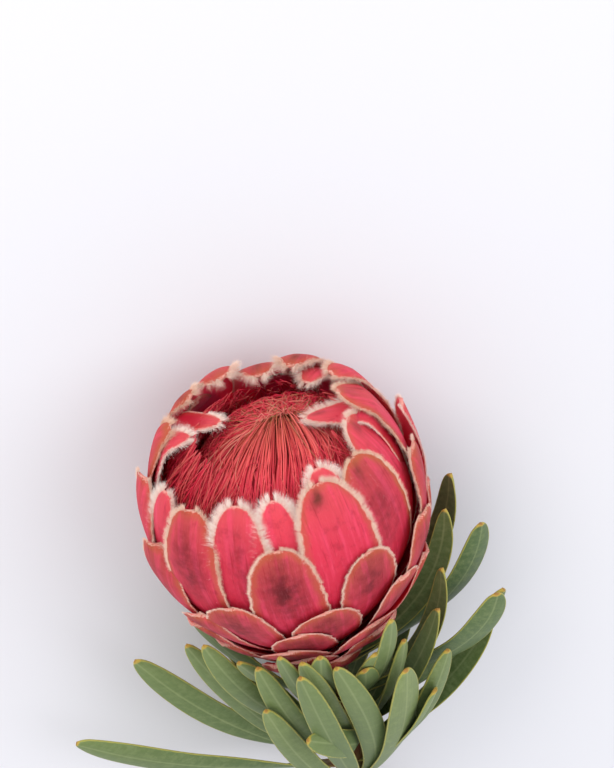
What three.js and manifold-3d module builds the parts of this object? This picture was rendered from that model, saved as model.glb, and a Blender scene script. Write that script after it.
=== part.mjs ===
// A protea flower head on its cut leafy stem, lying on a surface. Millimetres, +Z up.
//
// The plant is drawn upright first: the middle of the head's base is at 0, 0, 0 and the stem runs
// down from it. A turn about the stem's own axis is 0 on the side that lies uppermost and counts
// towards +X. The whole plant is then laid on its belly and its cut end.

import * as THREE from 'three';
import { mergeVertices } from 'three/addons/utils/BufferGeometryUtils.js';
import Module from 'manifold-3d';

const wasm = await Module();
wasm.setup();

const SMALLEST_DETAIL = 0.02;

// Head
const BASE_RADIUS = 8;
const RIM_RADIUS = 32;
const RIM_HEIGHT = 88;
const SHOULDER = [34, 9];
const SWELL = [60, 52];
const HEAD_BREADTH = 1.05;
const FOOT_BREADTH = 0.95;
const BREADTH_GROWS = [16, 48];

// Bracts: places along them are shares of the head's outline
const BRACT_THICKNESS = 0.8;
const EDGE_THICKNESS = 0.6;
const LEVEL_STEP = 1.45;
const TIER_GAP = 0.6;
const BASE_PROUD = 0.35;
const BASE_TOP_MARGIN = 0.55;
const BASE_LENGTH = 0.04;
const BASE_SEGMENTS = 24;
const EDGE_DROP = 0.3;
const LOWEST_TIP = 0.3;
const TIP_STEP = 0.117;
const BRACT_FREE_FROM = 0.5;
const TIGHTEST_BEND = 6;
const STATIONS = [0.2, 0.36, 0.52, 0.68, 0.84];
const TIP_ROWS = [0.09, 0.03, 0];
const CURL_FROM = 0.985;
const CURL_RADIUS = 8;
const OUTLINE_PACE = 130;
const CURL_ROWS = [0, 0.5, 0.8, 1];
const SHORTEST_STEP = 0.04;
const STATION_SPREAD = 0.016;
const GOLDEN_SHARE = 0.618;
const TURN_SPREAD = 3;
const REACH_SPREAD = 0.02;
const WIDTH_SPREAD = 0.08;
const FAR_COLUMNS = [-1, 0, 1];

// How wide a bract and a leaf are along their length: the share of the width at the root, where the
// widest place is, and how blunt the tip is
const BRACT_SHAPE = { root: 0.34, widestAt: 0.62, squareness: 3.2, power: 0.5, closed: 0.99 };
const LEAF_SHAPE = { root: 0.3, widestAt: 0.66, squareness: 2.5, power: 0.5, closed: 0.97 };

// Mass of styles: the dome's outline as radius and height, its ridges, and the loose ones on top
const STYLE_DOME = [[3, 13.9], [8, 19], [25, 43], [28, 57], [27, 68], [23, 77], [15, 84], [3, 88]];
const STYLE_RIDGES = 40;
const RIDGE_HEIGHT = 1.1;
const RIDGE_LIFT = 0.4;
const FULL_RIDGE_FROM = 16;
const CROWN_STYLES = 20;
const CROWN_STYLE_RADIUS = 0.7;
const CROWN_START = [15, 22];
const CROWN_RISE = [1.8, 3.4];
const CROWN_SWEEP = 16;
const CROWN_TOP = 88;
const CROWN_SPREAD = 0.4;
const CROWN_SEED = 5;
const CROWN_STEPS = 3;

// The places along a loose style: share of its start radius and of its sweep, height under the crown
// at the axis, drop with the start radius, and share of its rise
const CROWN_PATH = [
  { reach: 1, sweep: 0, under: 6.5, drop: 0.32, rise: 0 },
  { reach: 0.72, sweep: 0.4, under: 1.6, drop: 0.16, rise: 1 },
  { reach: 0.4, sweep: 1, under: 0, drop: 0, rise: 1 },
];

// Stem and leaves. The stem's bend is given as a place across the axis and a share of its length.
const STEM_RADIUS = 5;
const STEM_LENGTH = 112;
const STEM_TOP = -0.7;
const STEM_SIDES = 12;
const STEM_STEPS = 6;
const STEM_BEND = [[0, 0, 0], [0.6, -0.5, 0.35], [-0.4, 0.2, 0.7], [0.4, 0, 1.05]];
const CUT_SLANT = 35;
const CUT_BLOCK = 60;
const LEAF_THICKNESS = 0.8;
const LEAF_ROOT_DEPTH = 0.4;
const LEAF_BOW = 0.6;
const LEAF_RISE = 0.3;
const LEAF_TWISTED_AT = 0.5;
const LEAF_STAND_OFF = 2;
const LEAF_CHANNEL = 0.6;
const LEAF_NARROW = 3;
const LEAF_ROWS = [0, 0.35, 0.65, 0.9, 1];
const LEAF_COLUMNS = [-1, 0, 1];

// How the plant lies
const LYING_TILT = 12.5;
const PRESS_DEPTH = 1.5;
const PRESS_HEIGHT = 25;
const BELLY_AHEAD = 56;
const BELLY_CURVE_ACROSS = 43;
const BELLY_CURVE_ALONG = 55;
const FLAT_SPOT_RISE = 0.15;

const WELD = 1e-4;
const SLOPE_STEP = 0.001;

const degrees = THREE.MathUtils.degToRad;

// A seeded draw from 0 to 1, so that each build gives the same plant
function seededRandom(seed) {
  let state = seed;
  return () => {
    state = (state * 1664525 + 1013904223) % 4294967296;
    return state / 4294967296;
  };
}

// Solids: closed geometry to a manifold and back

function toSolid(geometry) {
  const bare = geometry.clone();
  bare.deleteAttribute('normal');
  bare.deleteAttribute('uv');
  const merged = mergeVertices(bare, WELD);
  const corners = merged.index.array;
  const triangles = [];
  for (let i = 0; i < corners.length; i += 3) {
    const [a, b, c] = [corners[i], corners[i + 1], corners[i + 2]];
    if (a !== b && b !== c && c !== a) triangles.push(a, b, c);
  }
  const mesh = new wasm.Mesh({
    numProp: 3,
    vertProperties: new Float32Array(merged.attributes.position.array),
    triVerts: new Uint32Array(triangles),
  });
  return new wasm.Manifold(mesh);
}

function toGeometry(solid) {
  const mesh = solid.getMesh();
  const geometry = new THREE.BufferGeometry();
  geometry.setAttribute('position', new THREE.BufferAttribute(new Float32Array(mesh.vertProperties), 3));
  geometry.setIndex(new THREE.BufferAttribute(new Uint32Array(mesh.triVerts), 1));
  geometry.computeVertexNormals();
  return geometry;
}

// Joins a list of solids two by two, which keeps each join small, and drops the slivers
function fuse(solids) {
  let round = solids;
  while (round.length > 1) {
    const next = [];
    for (let i = 0; i < round.length; i += 2) {
      next.push(i + 1 < round.length ? round[i].add(round[i + 1]) : round[i]);
    }
    round = next;
  }
  return round[0].simplify(SMALLEST_DETAIL);
}

// A closed blade: place(u, v) gives the points of its outer and inner face, for u from root to tip
// and v from one edge to the other
function blade(rows, columns, place) {
  const positions = [];
  const index = [];
  const width = columns.length;
  for (const face of ['outer', 'inner']) {
    for (const u of rows) {
      for (const v of columns) {
        positions.push(...place(u, v)[face].toArray());
      }
    }
  }
  const inner = rows.length * width;
  const quad = (a, b, c, d) => index.push(a, b, c, a, c, d);
  for (let i = 0; i + 1 < rows.length; i += 1) {
    for (let j = 0; j + 1 < width; j += 1) {
      const a = i * width + j;
      quad(a, a + 1, a + width + 1, a + width);
      const b = a + inner;
      index.push(b, b + width + 1, b + 1, b, b + width, b + width + 1);
    }
    const left = i * width;
    const right = left + width - 1;
    quad(left, left + width, left + width + inner, left + inner);
    quad(right, right + inner, right + width + inner, right + width);
  }
  const tip = (rows.length - 1) * width;
  for (let j = 0; j + 1 < width; j += 1) {
    quad(j, j + inner, j + 1 + inner, j + 1);
    quad(tip + j, tip + j + 1, tip + j + 1 + inner, tip + j + inner);
  }
  const geometry = new THREE.BufferGeometry();
  geometry.setAttribute('position', new THREE.Float32BufferAttribute(positions, 3));
  geometry.setIndex(index);
  return geometry;
}

// The head's outline from its base to its rim, as radius and height. Where a bract has a curl, its
// tip leaves the outline at CURL_FROM and turns into the head, by that angle at most.
const outline = new THREE.CubicBezierCurve(
  new THREE.Vector2(BASE_RADIUS, 0),
  new THREE.Vector2(...SHOULDER),
  new THREE.Vector2(...SWELL),
  new THREE.Vector2(RIM_RADIUS, RIM_HEIGHT),
);

function outlineAngle(along) {
  return outline.getPoint(along + SLOPE_STEP).sub(outline.getPoint(along)).angle();
}

// A point at a depth under the outline, as radius and height
function underOutline(along, depth, curl = 0) {
  let point = outline.getPoint(along);
  let angle = outlineAngle(along);
  if (curl && along > CURL_FROM) {
    const first = outlineAngle(CURL_FROM);
    const past = (along - CURL_FROM) * OUTLINE_PACE;
    const turned = Math.min(past / CURL_RADIUS, degrees(curl));
    const straight = past - turned * CURL_RADIUS;
    angle = first + turned;
    point = outline.getPoint(CURL_FROM);
    point.x += CURL_RADIUS * (Math.sin(angle) - Math.sin(first)) + straight * Math.cos(angle);
    point.y += CURL_RADIUS * (Math.cos(first) - Math.cos(angle)) + straight * Math.sin(angle);
  }
  return new THREE.Vector2(point.x - Math.sin(angle) * depth, point.y + Math.cos(angle) * depth);
}

// The level whose tips come to the surface here: each level lies one step under the one before it
function surfaceLevel(along) {
  return Math.max(0, (along - LOWEST_TIP) / TIP_STEP);
}

// A point on the plant from its turn about the axis, in degrees, its radius and its height
function around(turn, radius, height) {
  const angle = degrees(turn);
  return new THREE.Vector3(radius * Math.sin(angle), -radius * Math.cos(angle), height);
}

// Half the width of a bract or leaf, as a share of its widest, with a round tip
function bladeWidth(u, { root, widestAt, squareness, power, closed }) {
  const body = root + (1 - root) * Math.sin((Math.PI / 2) * Math.min(u / widestAt, 1));
  const tip = Math.max(0, (u - widestAt) / (1 - widestAt));
  return body * Math.pow(1 - closed * Math.pow(tip, squareness), power);
}

// A bract: turn, reach along the outline, width and level, with its tip leaning out of the head
// (or into it where lean is negative) or curled into it. All bracts bend at nearly the same
// stations, so that their faces stay parallel where they lie on one another.
function bractGeometry(bract, tier, shift) {
  const { turn, reach, width, level, lean = 0, curl = 0 } = bract;
  const rootAlong = tier.rootAlong + shift;
  const tipRows = curl
    ? CURL_ROWS.map((share) => THREE.MathUtils.lerp(CURL_FROM, reach, share))
    : TIP_ROWS.map((back) => reach - back);
  const stations = STATIONS.map((along) => along + shift)
    .filter((along) => along > rootAlong + SHORTEST_STEP)
    .filter((along) => along < tipRows[0] - SHORTEST_STEP);
  const place = (along, v) => {
    const u = (along - rootAlong) / (reach - rootAlong);
    const side = (width / 2) * bladeWidth(u, BRACT_SHAPE) * v;
    const free = Math.max(0, (u - BRACT_FREE_FROM) / (1 - BRACT_FREE_FROM));
    const depth = TIER_GAP * tier.order + LEVEL_STEP * (level - surfaceLevel(along))
      + EDGE_DROP * v * v - lean * free * free;
    const thickness = THREE.MathUtils.lerp(BRACT_THICKNESS, EDGE_THICKNESS, v * v);
    const outer = underOutline(along, depth, curl);
    const inner = underOutline(along, depth + thickness, curl);
    const bend = THREE.MathUtils.radToDeg(side / Math.max(outer.x, TIGHTEST_BEND));
    return {
      outer: around(turn + bend, outer.x, outer.y),
      inner: around(turn + bend, inner.x, inner.y),
    };
  };
  return blade([rootAlong, ...stations, ...tipRows], bract.columns ?? tier.columns, place);
}

// The joined bases of a tier's bracts: a bowl that their roots are sunk in
function tierBase({ order, levels, rootAlong }) {
  const end = rootAlong + BASE_LENGTH;
  const bottom = TIER_GAP * order + LEVEL_STEP * levels[0] - BASE_PROUD;
  const top = TIER_GAP * order + LEVEL_STEP * levels[1] + BRACT_THICKNESS + BASE_TOP_MARGIN;
  const profile = [
    new THREE.Vector2(0, underOutline(0, bottom).y),
    underOutline(0, bottom),
    underOutline(end, bottom),
    underOutline(end, top),
    underOutline(0, top),
    new THREE.Vector2(0, underOutline(0, top).y),
  ];
  return new THREE.LatheGeometry(profile, BASE_SEGMENTS).rotateX(Math.PI / 2);
}

function everyTurn(count, first) {
  return Array.from({ length: count }, (_, i) => first + (360 / count) * i);
}

// A whorl of bracts alike but for a small seeded spread, and shorter on the uppermost side
function evenWhorl({ level, count, first, reach, frontDrop, width, seed }) {
  const draw = seededRandom(seed);
  return everyTurn(count, first).map((even) => {
    const turn = even + TURN_SPREAD * (draw() - 0.5);
    const front = Math.max(0, Math.cos(degrees(turn)));
    return {
      turn,
      reach: reach + REACH_SPREAD * (draw() - 0.5) - frontDrop * front * front,
      width: width * (1 + WIDTH_SPREAD * (draw() - 0.5)),
      level,
    };
  });
}

// The scales at the head's foot and the short outer bracts
const outerWhorls = [
  { level: 0, first: 12, reach: 0.3, frontDrop: 0, width: 16, seed: 11 },
  { level: 1, first: -12, reach: 0.41, frontDrop: 0.02, width: 21, seed: 12 },
  { level: 2, first: 27, reach: 0.52, frontDrop: 0.05, width: 23, seed: 13 },
].flatMap((whorl) => evenWhorl({ count: 8, ...whorl }));

// The middle bracts, and the long ones on the upper side, stand as they do on the flower, by eye
const middleBracts = [
  { turn: -95, reach: 0.64, width: 20, level: 3 },
  { turn: -52, reach: 0.62, width: 20, level: 3 },
  { turn: -9, reach: 0.555, width: 19.5, level: 3 },
  { turn: 42, reach: 0.605, width: 21, level: 3 },
  { turn: 94, reach: 0.64, width: 22, level: 3 },
  { turn: 130, reach: 0.645, width: 24, level: 3 },
  { turn: 175, reach: 0.645, width: 25, level: 3 },
  { turn: -140, reach: 0.645, width: 24, level: 3 },
  { turn: -70, reach: 0.81, width: 22, level: 4 },
  { turn: -33, reach: 0.69, width: 22, level: 4 },
  { turn: 4, reach: 0.63, width: 22, level: 4 },
  { turn: 61, reach: 0.725, width: 23, level: 4 },
  { turn: 110, reach: 0.7, width: 23, level: 4 },
  { turn: 148, reach: 0.71, width: 25, level: 4 },
  { turn: -171, reach: 0.71, width: 25, level: 4 },
  { turn: -125, reach: 0.71, width: 25, level: 4 },
];

const longBracts = [
  { turn: -91, reach: 0.93, width: 21, level: 5, lean: 2 },
  { turn: -49, reach: 0.965, width: 19, level: 5, lean: 1.5 },
  { turn: -9, reach: 0.872, width: 21, level: 5 },
  { turn: 27, reach: 0.77, width: 20, level: 5 },
  { turn: 80, reach: 0.86, width: 25, level: 5, lean: 1 },
  { turn: -70, reach: 0.965, width: 15, level: 6, lean: 0.5 },
  { turn: -26, reach: 0.99, width: 18, level: 6 },
  { turn: 18.5, reach: 1.0, width: 23, level: 6 },
  { turn: 45, reach: 1.0, width: 24, level: 6.7, lean: -0.5 },
  { turn: 97, reach: 1.085, width: 22, level: 6.7, lean: 2, curl: 30 },
  { turn: -6.5, reach: 0.995, width: 14.5, level: 7 },
  { turn: 23, reach: 1.03, width: 17, level: 7.4 },
  { turn: 68, reach: 1.055, width: 24, level: 7.4, lean: -1 },
];

// The long bracts on the far side, most with their tips curled into the head
const farLongBracts = [
  { turn: 103, reach: 0.89, width: 20, level: 5, lean: 4 },
  { turn: 128, reach: 0.95, width: 23, level: 5 },
  { turn: 166, reach: 0.95, width: 23, level: 5 },
  { turn: -150, reach: 0.95, width: 23, level: 5, lean: 0.6 },
  { turn: -122, reach: 0.95, width: 23, level: 5 },
  { turn: 122, reach: 1.05, width: 20, level: 6, lean: 3, curl: 60 },
  { turn: 152, reach: 1.045, width: 20, level: 6, lean: 4, curl: 60 },
  { turn: -160, reach: 1.035, width: 20, level: 6, lean: 3, curl: 60 },
  { turn: -136, reach: 1.04, width: 19, level: 6, lean: 3, curl: 60 },
  { turn: -108, reach: 1.03, width: 17, level: 6, lean: 2, curl: 50 },
  { turn: 176, reach: 1.04, width: 20, level: 6.7, lean: 2.5, curl: 60 },
  { turn: 138, reach: 1.085, width: 16, level: 7.4, lean: 3, curl: 75 },
  { turn: -103, reach: 1.08, width: 13, level: 7.4, lean: 2, curl: 70 },
  { turn: 86, reach: 1.16, width: 14, level: 8.1, lean: 4, curl: 62 },
  { turn: -121, reach: 1.155, width: 11, level: 8.1, lean: 4, curl: 62 },
].map((bract) => ({ ...bract, columns: FAR_COLUMNS }));

const tiers = {
  outer: { order: 0, levels: [0, 2], rootAlong: 0.08, columns: [-1, 0, 1] },
  middle: { order: 1, levels: [3, 4], rootAlong: 0.14, columns: [-1, -0.35, 0.35, 1] },
  inner: { order: 2, levels: [5, 8.1], rootAlong: 0.2, columns: [-1, -0.35, 0.35, 1] },
};

// The head's breadth across at a height, as a share of its depth: the foot is narrower
function breadth(height) {
  const grown = THREE.MathUtils.smoothstep(height, ...BREADTH_GROWS);
  return THREE.MathUtils.lerp(FOOT_BREADTH, HEAD_BREADTH, grown);
}

function bractTier(bracts, tier) {
  const solids = bracts.map((bract, i) => {
    const shift = STATION_SPREAD * (((i * GOLDEN_SHARE) % 1) - 0.5);
    return toSolid(bractGeometry(bract, tier, shift));
  });
  return fuse([toSolid(tierBase(tier)), ...solids]).warp((point) => {
    point[0] *= breadth(point[2]);
  });
}

// The mass of styles: a dome of ridges that close in on the top, with a crown of loose ones
function styleDome() {
  const profile = STYLE_DOME;
  const count = STYLE_RIDGES * 2;
  const positions = [0, 0, profile[0][1]];
  for (const [radius, height] of profile) {
    for (let i = 0; i < count; i += 1) {
      const ridge = (i % 2) * RIDGE_HEIGHT * Math.min(1, radius / FULL_RIDGE_FROM);
      const turn = (360 * i) / count;
      positions.push(...around(turn, radius + ridge, height + ridge * RIDGE_LIFT).toArray());
    }
  }
  positions.push(0, 0, profile[profile.length - 1][1]);
  const last = positions.length / 3 - 1;
  const index = [];
  for (let i = 0; i < count; i += 1) {
    const next = (i + 1) % count;
    index.push(0, 1 + next, 1 + i);
    for (let row = 0; row + 1 < profile.length; row += 1) {
      const a = 1 + row * count + i;
      const b = 1 + row * count + next;
      index.push(a, b, b + count, a, b + count, a + count);
    }
    const top = 1 + (profile.length - 1) * count;
    index.push(top + i, top + next, last);
  }
  const geometry = new THREE.BufferGeometry();
  geometry.setAttribute('position', new THREE.Float32BufferAttribute(positions, 3));
  geometry.setIndex(index);
  return geometry;
}

// A three-sided loose style
function needle(points, radius) {
  const section = new THREE.Shape();
  section.setFromPoints([0, 120, 240].map((turn) => (
    new THREE.Vector2(radius, 0).rotateAround(new THREE.Vector2(), degrees(turn))
  )));
  const path = new THREE.CatmullRomCurve3(points);
  return new THREE.ExtrudeGeometry(section, {
    steps: CROWN_STEPS,
    bevelEnabled: false,
    extrudePath: path,
  });
}

function styleMass() {
  const draw = seededRandom(CROWN_SEED);
  const solids = [toSolid(styleDome())];
  for (let i = 0; i < CROWN_STYLES; i += 1) {
    const turn = (360 / CROWN_STYLES) * (i + CROWN_SPREAD * draw());
    const start = THREE.MathUtils.lerp(...CROWN_START, draw());
    const lift = THREE.MathUtils.lerp(...CROWN_RISE, draw());
    const points = CROWN_PATH.map(({ reach, sweep, under, drop, rise }) => (
      around(turn + sweep * CROWN_SWEEP, start * reach, CROWN_TOP - under - drop * start + rise * lift)
    ));
    solids.push(toSolid(needle(points, CROWN_STYLE_RADIUS)));
  }
  return fuse(solids);
}

// The leaves: where the tip stands, where the root leaves the stem, and the width. A leaf bows out
// from the stem, and its two edges bend a little inwards.
const seenLeaves = [
  { turn: -75, radius: 42, height: 22, root: -52, width: 9, twist: 65 },
  { turn: -54, radius: 43, height: 33, root: -36, width: 8.5, twist: 55, bow: 0.66 },
  { turn: -94, radius: 38, height: 22, root: -27, width: 8.5, twist: 60 },
  { turn: -88, radius: 58, height: 13, root: -52, width: 11, twist: 80 },
  { turn: -90, radius: 84, height: -17, root: -56, width: 12, twist: 75 },
  { turn: -43, radius: 38, height: 25, root: -16, width: 7, twist: 30 },
  { turn: -31, radius: 40, height: 27, root: -52, width: 8.5, twist: 30 },
  { turn: -35, radius: 38, height: 6, root: -64, width: 9, twist: 30 },
  { turn: -18, radius: 43, height: 35, root: -26, width: 7 },
  { turn: -10, radius: 42, height: 31, root: -42, width: 8.5, rootTurn: 10 },
  { turn: -11, radius: 46, height: 29, root: -60, width: 9.5, rootTurn: 0 },
  { turn: -2, radius: 43, height: 33, root: -22, width: 8, rootTurn: -20 },
  { turn: -18, radius: 38, height: -6, root: -42, width: 9.5, twist: 70, rootTurn: 60 },
  { turn: 3, radius: 43, height: 27, root: -62, width: 9.5, rootTurn: 60 },
  { turn: 23, radius: 38, height: 21, root: -16, width: 9 },
  { turn: 17, radius: 36, height: 15, root: -24, width: 11, rootTurn: 30 },
  { turn: 31, radius: 44, height: 14, root: -62, width: 13, rootTurn: 50 },
  { turn: 28, radius: 46, height: 38, root: -26, width: 8, rootTurn: 40 },
  { turn: 40, radius: 38, height: 18, root: -40, width: 9, rootTurn: 50 },
  { turn: 50, radius: 40, height: -9, root: -54, width: 12 },
  { turn: 84, radius: 47, height: 44, root: -11, width: 8, twist: 60, bow: 0.85 },
  { turn: 70, radius: 44, height: 30, root: -26, width: 8, twist: 50, bow: 0.85 },
  { turn: 98, radius: 52, height: 47, root: -8, width: 10, twist: 20, bow: 0.85 },
  { turn: 86, radius: 57, height: 34, root: -13, width: 12, twist: -60, bow: 0.85 },
  { turn: 81, radius: 60, height: 10, root: -38, width: 10, twist: -60 },
  { turn: 72, radius: 59, height: 17, root: -22, width: 12, twist: -60, bow: 0.85 },
  { turn: 80, radius: 55, height: 0, root: -50, width: 9, twist: 40 },
  { turn: 60, radius: 43, height: 20, root: -40, width: 8, twist: 55 },
  { turn: 58, radius: 44, height: 4, root: -58, width: 9, twist: -40 },
];

const hiddenLeaves = [
  { turn: 112, radius: 38, height: 8, root: -44, width: 9 },
  { turn: 132, radius: 37, height: 16, root: -30, width: 9 },
  { turn: 150, radius: 28, height: 6, root: -52, width: 9 },
  { turn: 172, radius: 26, height: 8, root: -38, width: 9 },
  { turn: -162, radius: 23, height: 2, root: -58, width: 9 },
  { turn: -142, radius: 36, height: 12, root: -34, width: 9 },
  { turn: -118, radius: 38, height: 6, root: -48, width: 9 },
];

function leafPath({ turn, radius, height, root, rootTurn = turn, bow = LEAF_BOW }) {
  return new THREE.QuadraticBezierCurve3(
    around(rootTurn, STEM_RADIUS * LEAF_ROOT_DEPTH, root),
    around((turn + rootTurn) / 2, radius * bow + LEAF_STAND_OFF, root + LEAF_RISE * (height - root)),
    around(turn, radius, height),
  );
}

function leafGeometry(leaf) {
  const path = leafPath(leaf);
  const sideways = around(leaf.turn + 90, 1, 0);
  const place = (u, v) => {
    const centre = path.getPoint(u);
    const forward = path.getTangent(u);
    const across = sideways.clone().addScaledVector(forward, -sideways.dot(forward)).normalize();
    const twisted = Math.sin((Math.PI / 2) * Math.min(u / LEAF_TWISTED_AT, 1));
    across.applyAxisAngle(forward, degrees(leaf.twist ?? 0) * twisted);
    const outward = across.clone().cross(forward).normalize();
    const half = (leaf.width / 2) * bladeWidth(u, LEAF_SHAPE);
    const point = centre.addScaledVector(across, half * v);
    point.addScaledVector(outward, -LEAF_CHANNEL * v * v * Math.min(1, half / LEAF_NARROW));
    const shift = LEAF_THICKNESS / 2;
    return {
      outer: point.clone().addScaledVector(outward, shift),
      inner: point.clone().addScaledVector(outward, -shift),
    };
  };
  return blade(LEAF_ROWS, LEAF_COLUMNS, place);
}

// The stem, cut on a slant at its lower end
function stemSolid() {
  const section = new THREE.Shape();
  section.absarc(0, 0, STEM_RADIUS, 0, 2 * Math.PI, false);
  const path = new THREE.CatmullRomCurve3(STEM_BEND.map(([x, y, share]) => (
    new THREE.Vector3(x, y, STEM_TOP - share * STEM_LENGTH)
  )));
  const stem = toSolid(new THREE.ExtrudeGeometry(section, {
    steps: STEM_STEPS,
    curveSegments: STEM_SIDES / 2,
    bevelEnabled: false,
    extrudePath: path,
  }));
  const waste = new THREE.BoxGeometry(CUT_BLOCK, CUT_BLOCK, CUT_BLOCK);
  waste.translate(0, 0, -CUT_BLOCK / 2);
  waste.rotateX(degrees(-CUT_SLANT));
  waste.translate(0, 0, STEM_TOP - STEM_LENGTH + STEM_RADIUS * Math.tan(degrees(CUT_SLANT)));
  return stem.subtract(toSolid(waste));
}

function leafyStem() {
  const leaves = [...seenLeaves, ...hiddenLeaves].map((leaf) => toSolid(leafGeometry(leaf)));
  return fuse([stemSolid(), ...leaves]);
}

const solids = {
  leafy_stem: leafyStem(),
  outer_bracts: bractTier(outerWhorls, tiers.outer),
  middle_bracts: bractTier(middleBracts, tiers.middle),
  inner_bracts: bractTier([...longBracts, ...farLongBracts], tiers.inner),
  style_mass: styleMass(),
};

const materials = {
  leafy_stem: { color: 0x8b9c79, roughness: 0.62 },
  outer_bracts: { color: 0x9c3a44, roughness: 0.7 },
  middle_bracts: { color: 0xb8424c, roughness: 0.68 },
  inner_bracts: { color: 0xdb4560, roughness: 0.65 },
  style_mass: { color: 0xc43a3c, roughness: 0.55 },
};

// Lays the plant down: the side with turn 0 comes uppermost and the head points along -Y
const lying = new THREE.Matrix4().makeRotationX(degrees(90 - LYING_TILT))
  .multiply(new THREE.Matrix4().makeRotationZ(Math.PI));

// Lifts the belly where it bears on the surface, most at the middle of the spot and less higher up,
// and flattens what still bears on it
function settle(geometry, surface) {
  const position = geometry.attributes.position;
  for (let i = 0; i < position.count; i += 1) {
    const across = position.getX(i);
    const along = position.getY(i) + BELLY_AHEAD;
    const height = position.getZ(i) - (surface - PRESS_DEPTH);
    const dip = PRESS_DEPTH - (across * across) / (2 * BELLY_CURVE_ACROSS)
      - (along * along) / (2 * BELLY_CURVE_ALONG);
    const fade = Math.max(0, 1 - height / PRESS_HEIGHT);
    const pressed = position.getZ(i) + Math.max(0, dip) * fade;
    position.setZ(i, Math.max(surface + FLAT_SPOT_RISE, pressed));
  }
}

const upright = Object.entries(solids).map(([name, solid]) => [name, toGeometry(solid)]);
const lain = upright.map(([name, geometry]) => [name, geometry.applyMatrix4(lying)]);
const stemBox = new THREE.Box3().setFromBufferAttribute(lain[0][1].attributes.position);
const box = new THREE.Box3();
const flower = new THREE.Group();
for (const [name, geometry] of lain) {
  settle(geometry, stemBox.min.z);
  box.union(new THREE.Box3().setFromBufferAttribute(geometry.attributes.position));
  const material = new THREE.MeshStandardMaterial({ metalness: 0, ...materials[name] });
  const mesh = new THREE.Mesh(geometry, material);
  mesh.name = name;
  flower.add(mesh);
}
const middle = box.getCenter(new THREE.Vector3());
flower.position.set(-middle.x, -middle.y, -box.min.z);

export default flower;
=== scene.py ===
"""The looks of a protea flower head on its cut, leafy stem, lying on a surface.

Shapes are worked out in millimetres and turned into metres when a mesh is made. The plant is drawn
upright first, with the middle of the head's base at 0, 0, 0 and the stem running down from it. A
turn about the stem's axis is 0 on the side that lies uppermost and counts towards +X. Every shape
is then laid down and settled on the surface in the same way as the solids of the frame.
"""

from math import copysign, cos, pi, radians, sin, tan, tau

import bpy
import numpy as np
from mathutils import Matrix, Vector


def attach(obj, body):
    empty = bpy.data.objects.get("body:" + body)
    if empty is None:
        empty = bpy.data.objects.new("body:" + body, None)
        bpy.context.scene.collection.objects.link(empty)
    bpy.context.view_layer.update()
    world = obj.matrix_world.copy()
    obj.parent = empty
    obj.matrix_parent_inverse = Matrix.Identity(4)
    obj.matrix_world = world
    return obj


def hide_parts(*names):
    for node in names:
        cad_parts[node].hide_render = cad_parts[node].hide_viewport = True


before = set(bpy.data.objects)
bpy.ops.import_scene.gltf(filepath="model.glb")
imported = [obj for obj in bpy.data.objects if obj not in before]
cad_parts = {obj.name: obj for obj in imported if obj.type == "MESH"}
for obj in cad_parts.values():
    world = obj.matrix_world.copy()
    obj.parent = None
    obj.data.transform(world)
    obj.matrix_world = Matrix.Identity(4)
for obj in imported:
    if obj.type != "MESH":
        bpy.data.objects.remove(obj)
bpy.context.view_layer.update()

MM = 0.001

# How the plant lies: the same values as its solids have
LYING_TILT = 12.5
HEAD_BASE = np.array([-12.3385, -6.5755, 29.1745])
PRESS_DEPTH = 1.5
PRESS_HEIGHT = 25
BELLY_AHEAD = 56
BELLY_CURVE_ACROSS = 43
BELLY_CURVE_ALONG = 55
FLAT_SPOT_RISE = 0.15

# The head's outline, from its base to its rim, as radius and height
OUTLINE = np.array([(8, 0), (34, 9), (60, 52), (32, 88)], float)
HEAD_BREADTH = 1.05
FOOT_BREADTH = 0.95
BREADTH_GROWS = (16, 48)
SLOPE_STEP = 0.001

# Bracts: the same values as their solids have, in millimetres, degrees and shares
BRACT_THICKNESS = 0.8
BRACT_FREE_FROM = 0.5
LEVEL_STEP = 1.45
TIER_GAP = 0.6
EDGE_DROP = 0.3
LOWEST_TIP = 0.3
TIP_STEP = 0.117
CURL_FROM = 0.985
CURL_RADIUS = 8
OUTLINE_PACE = 130
TIGHTEST_BEND = 6
GOLDEN_SHARE = 0.618
WHORL_COUNT = 8
TURN_SPREAD = 3
REACH_SPREAD = 0.02
WIDTH_SPREAD = 0.08

# What the fine bracts add to their solids' shape
BRACT_COLUMNS = 17
RIM_THICKNESS = 0.3
BULGE = 1.3
BULGE_LOST_AT_TIP = 0.5
BULGE_SOLID = 0.5
TUCK = 1.1
TUCK_AT_SIDES = 0.6
TUCK_AT_TIP = 0.8
ROLL = 0.3
SIDE_ROLL = 1.5
SKEW = 4.0
SKEW_FROM = 0.4
SKEWED_SIDE = (0.8, 0.98)
WAVE = 0.35
WAVES = 2.3
RAGGED = 0.02
COARSE_RIPPLES = 11
FINE_RIPPLES = 23
FINE_RIPPLE = 0.7
INNER_TO_OUTER_LEVEL = (7.0, 5.0)
UNCOVERED = (-1.3, 0.3)
BURN_FROM_TIP = 3.2
BURN_LENGTH = 2.2
BURN_WIDTH = 0.28

# How wide a bract and a leaf are along their length, as on their solids but with finer tips
BRACT_SHAPE = {"root": 0.34, "widest_at": 0.62, "squareness": 3.5, "power": 0.47}
LEAF_SHAPE = {"root": 0.3, "widest_at": 0.66, "squareness": 2.5, "power": 0.5}
TIP_CLOSED = 0.9992

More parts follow.
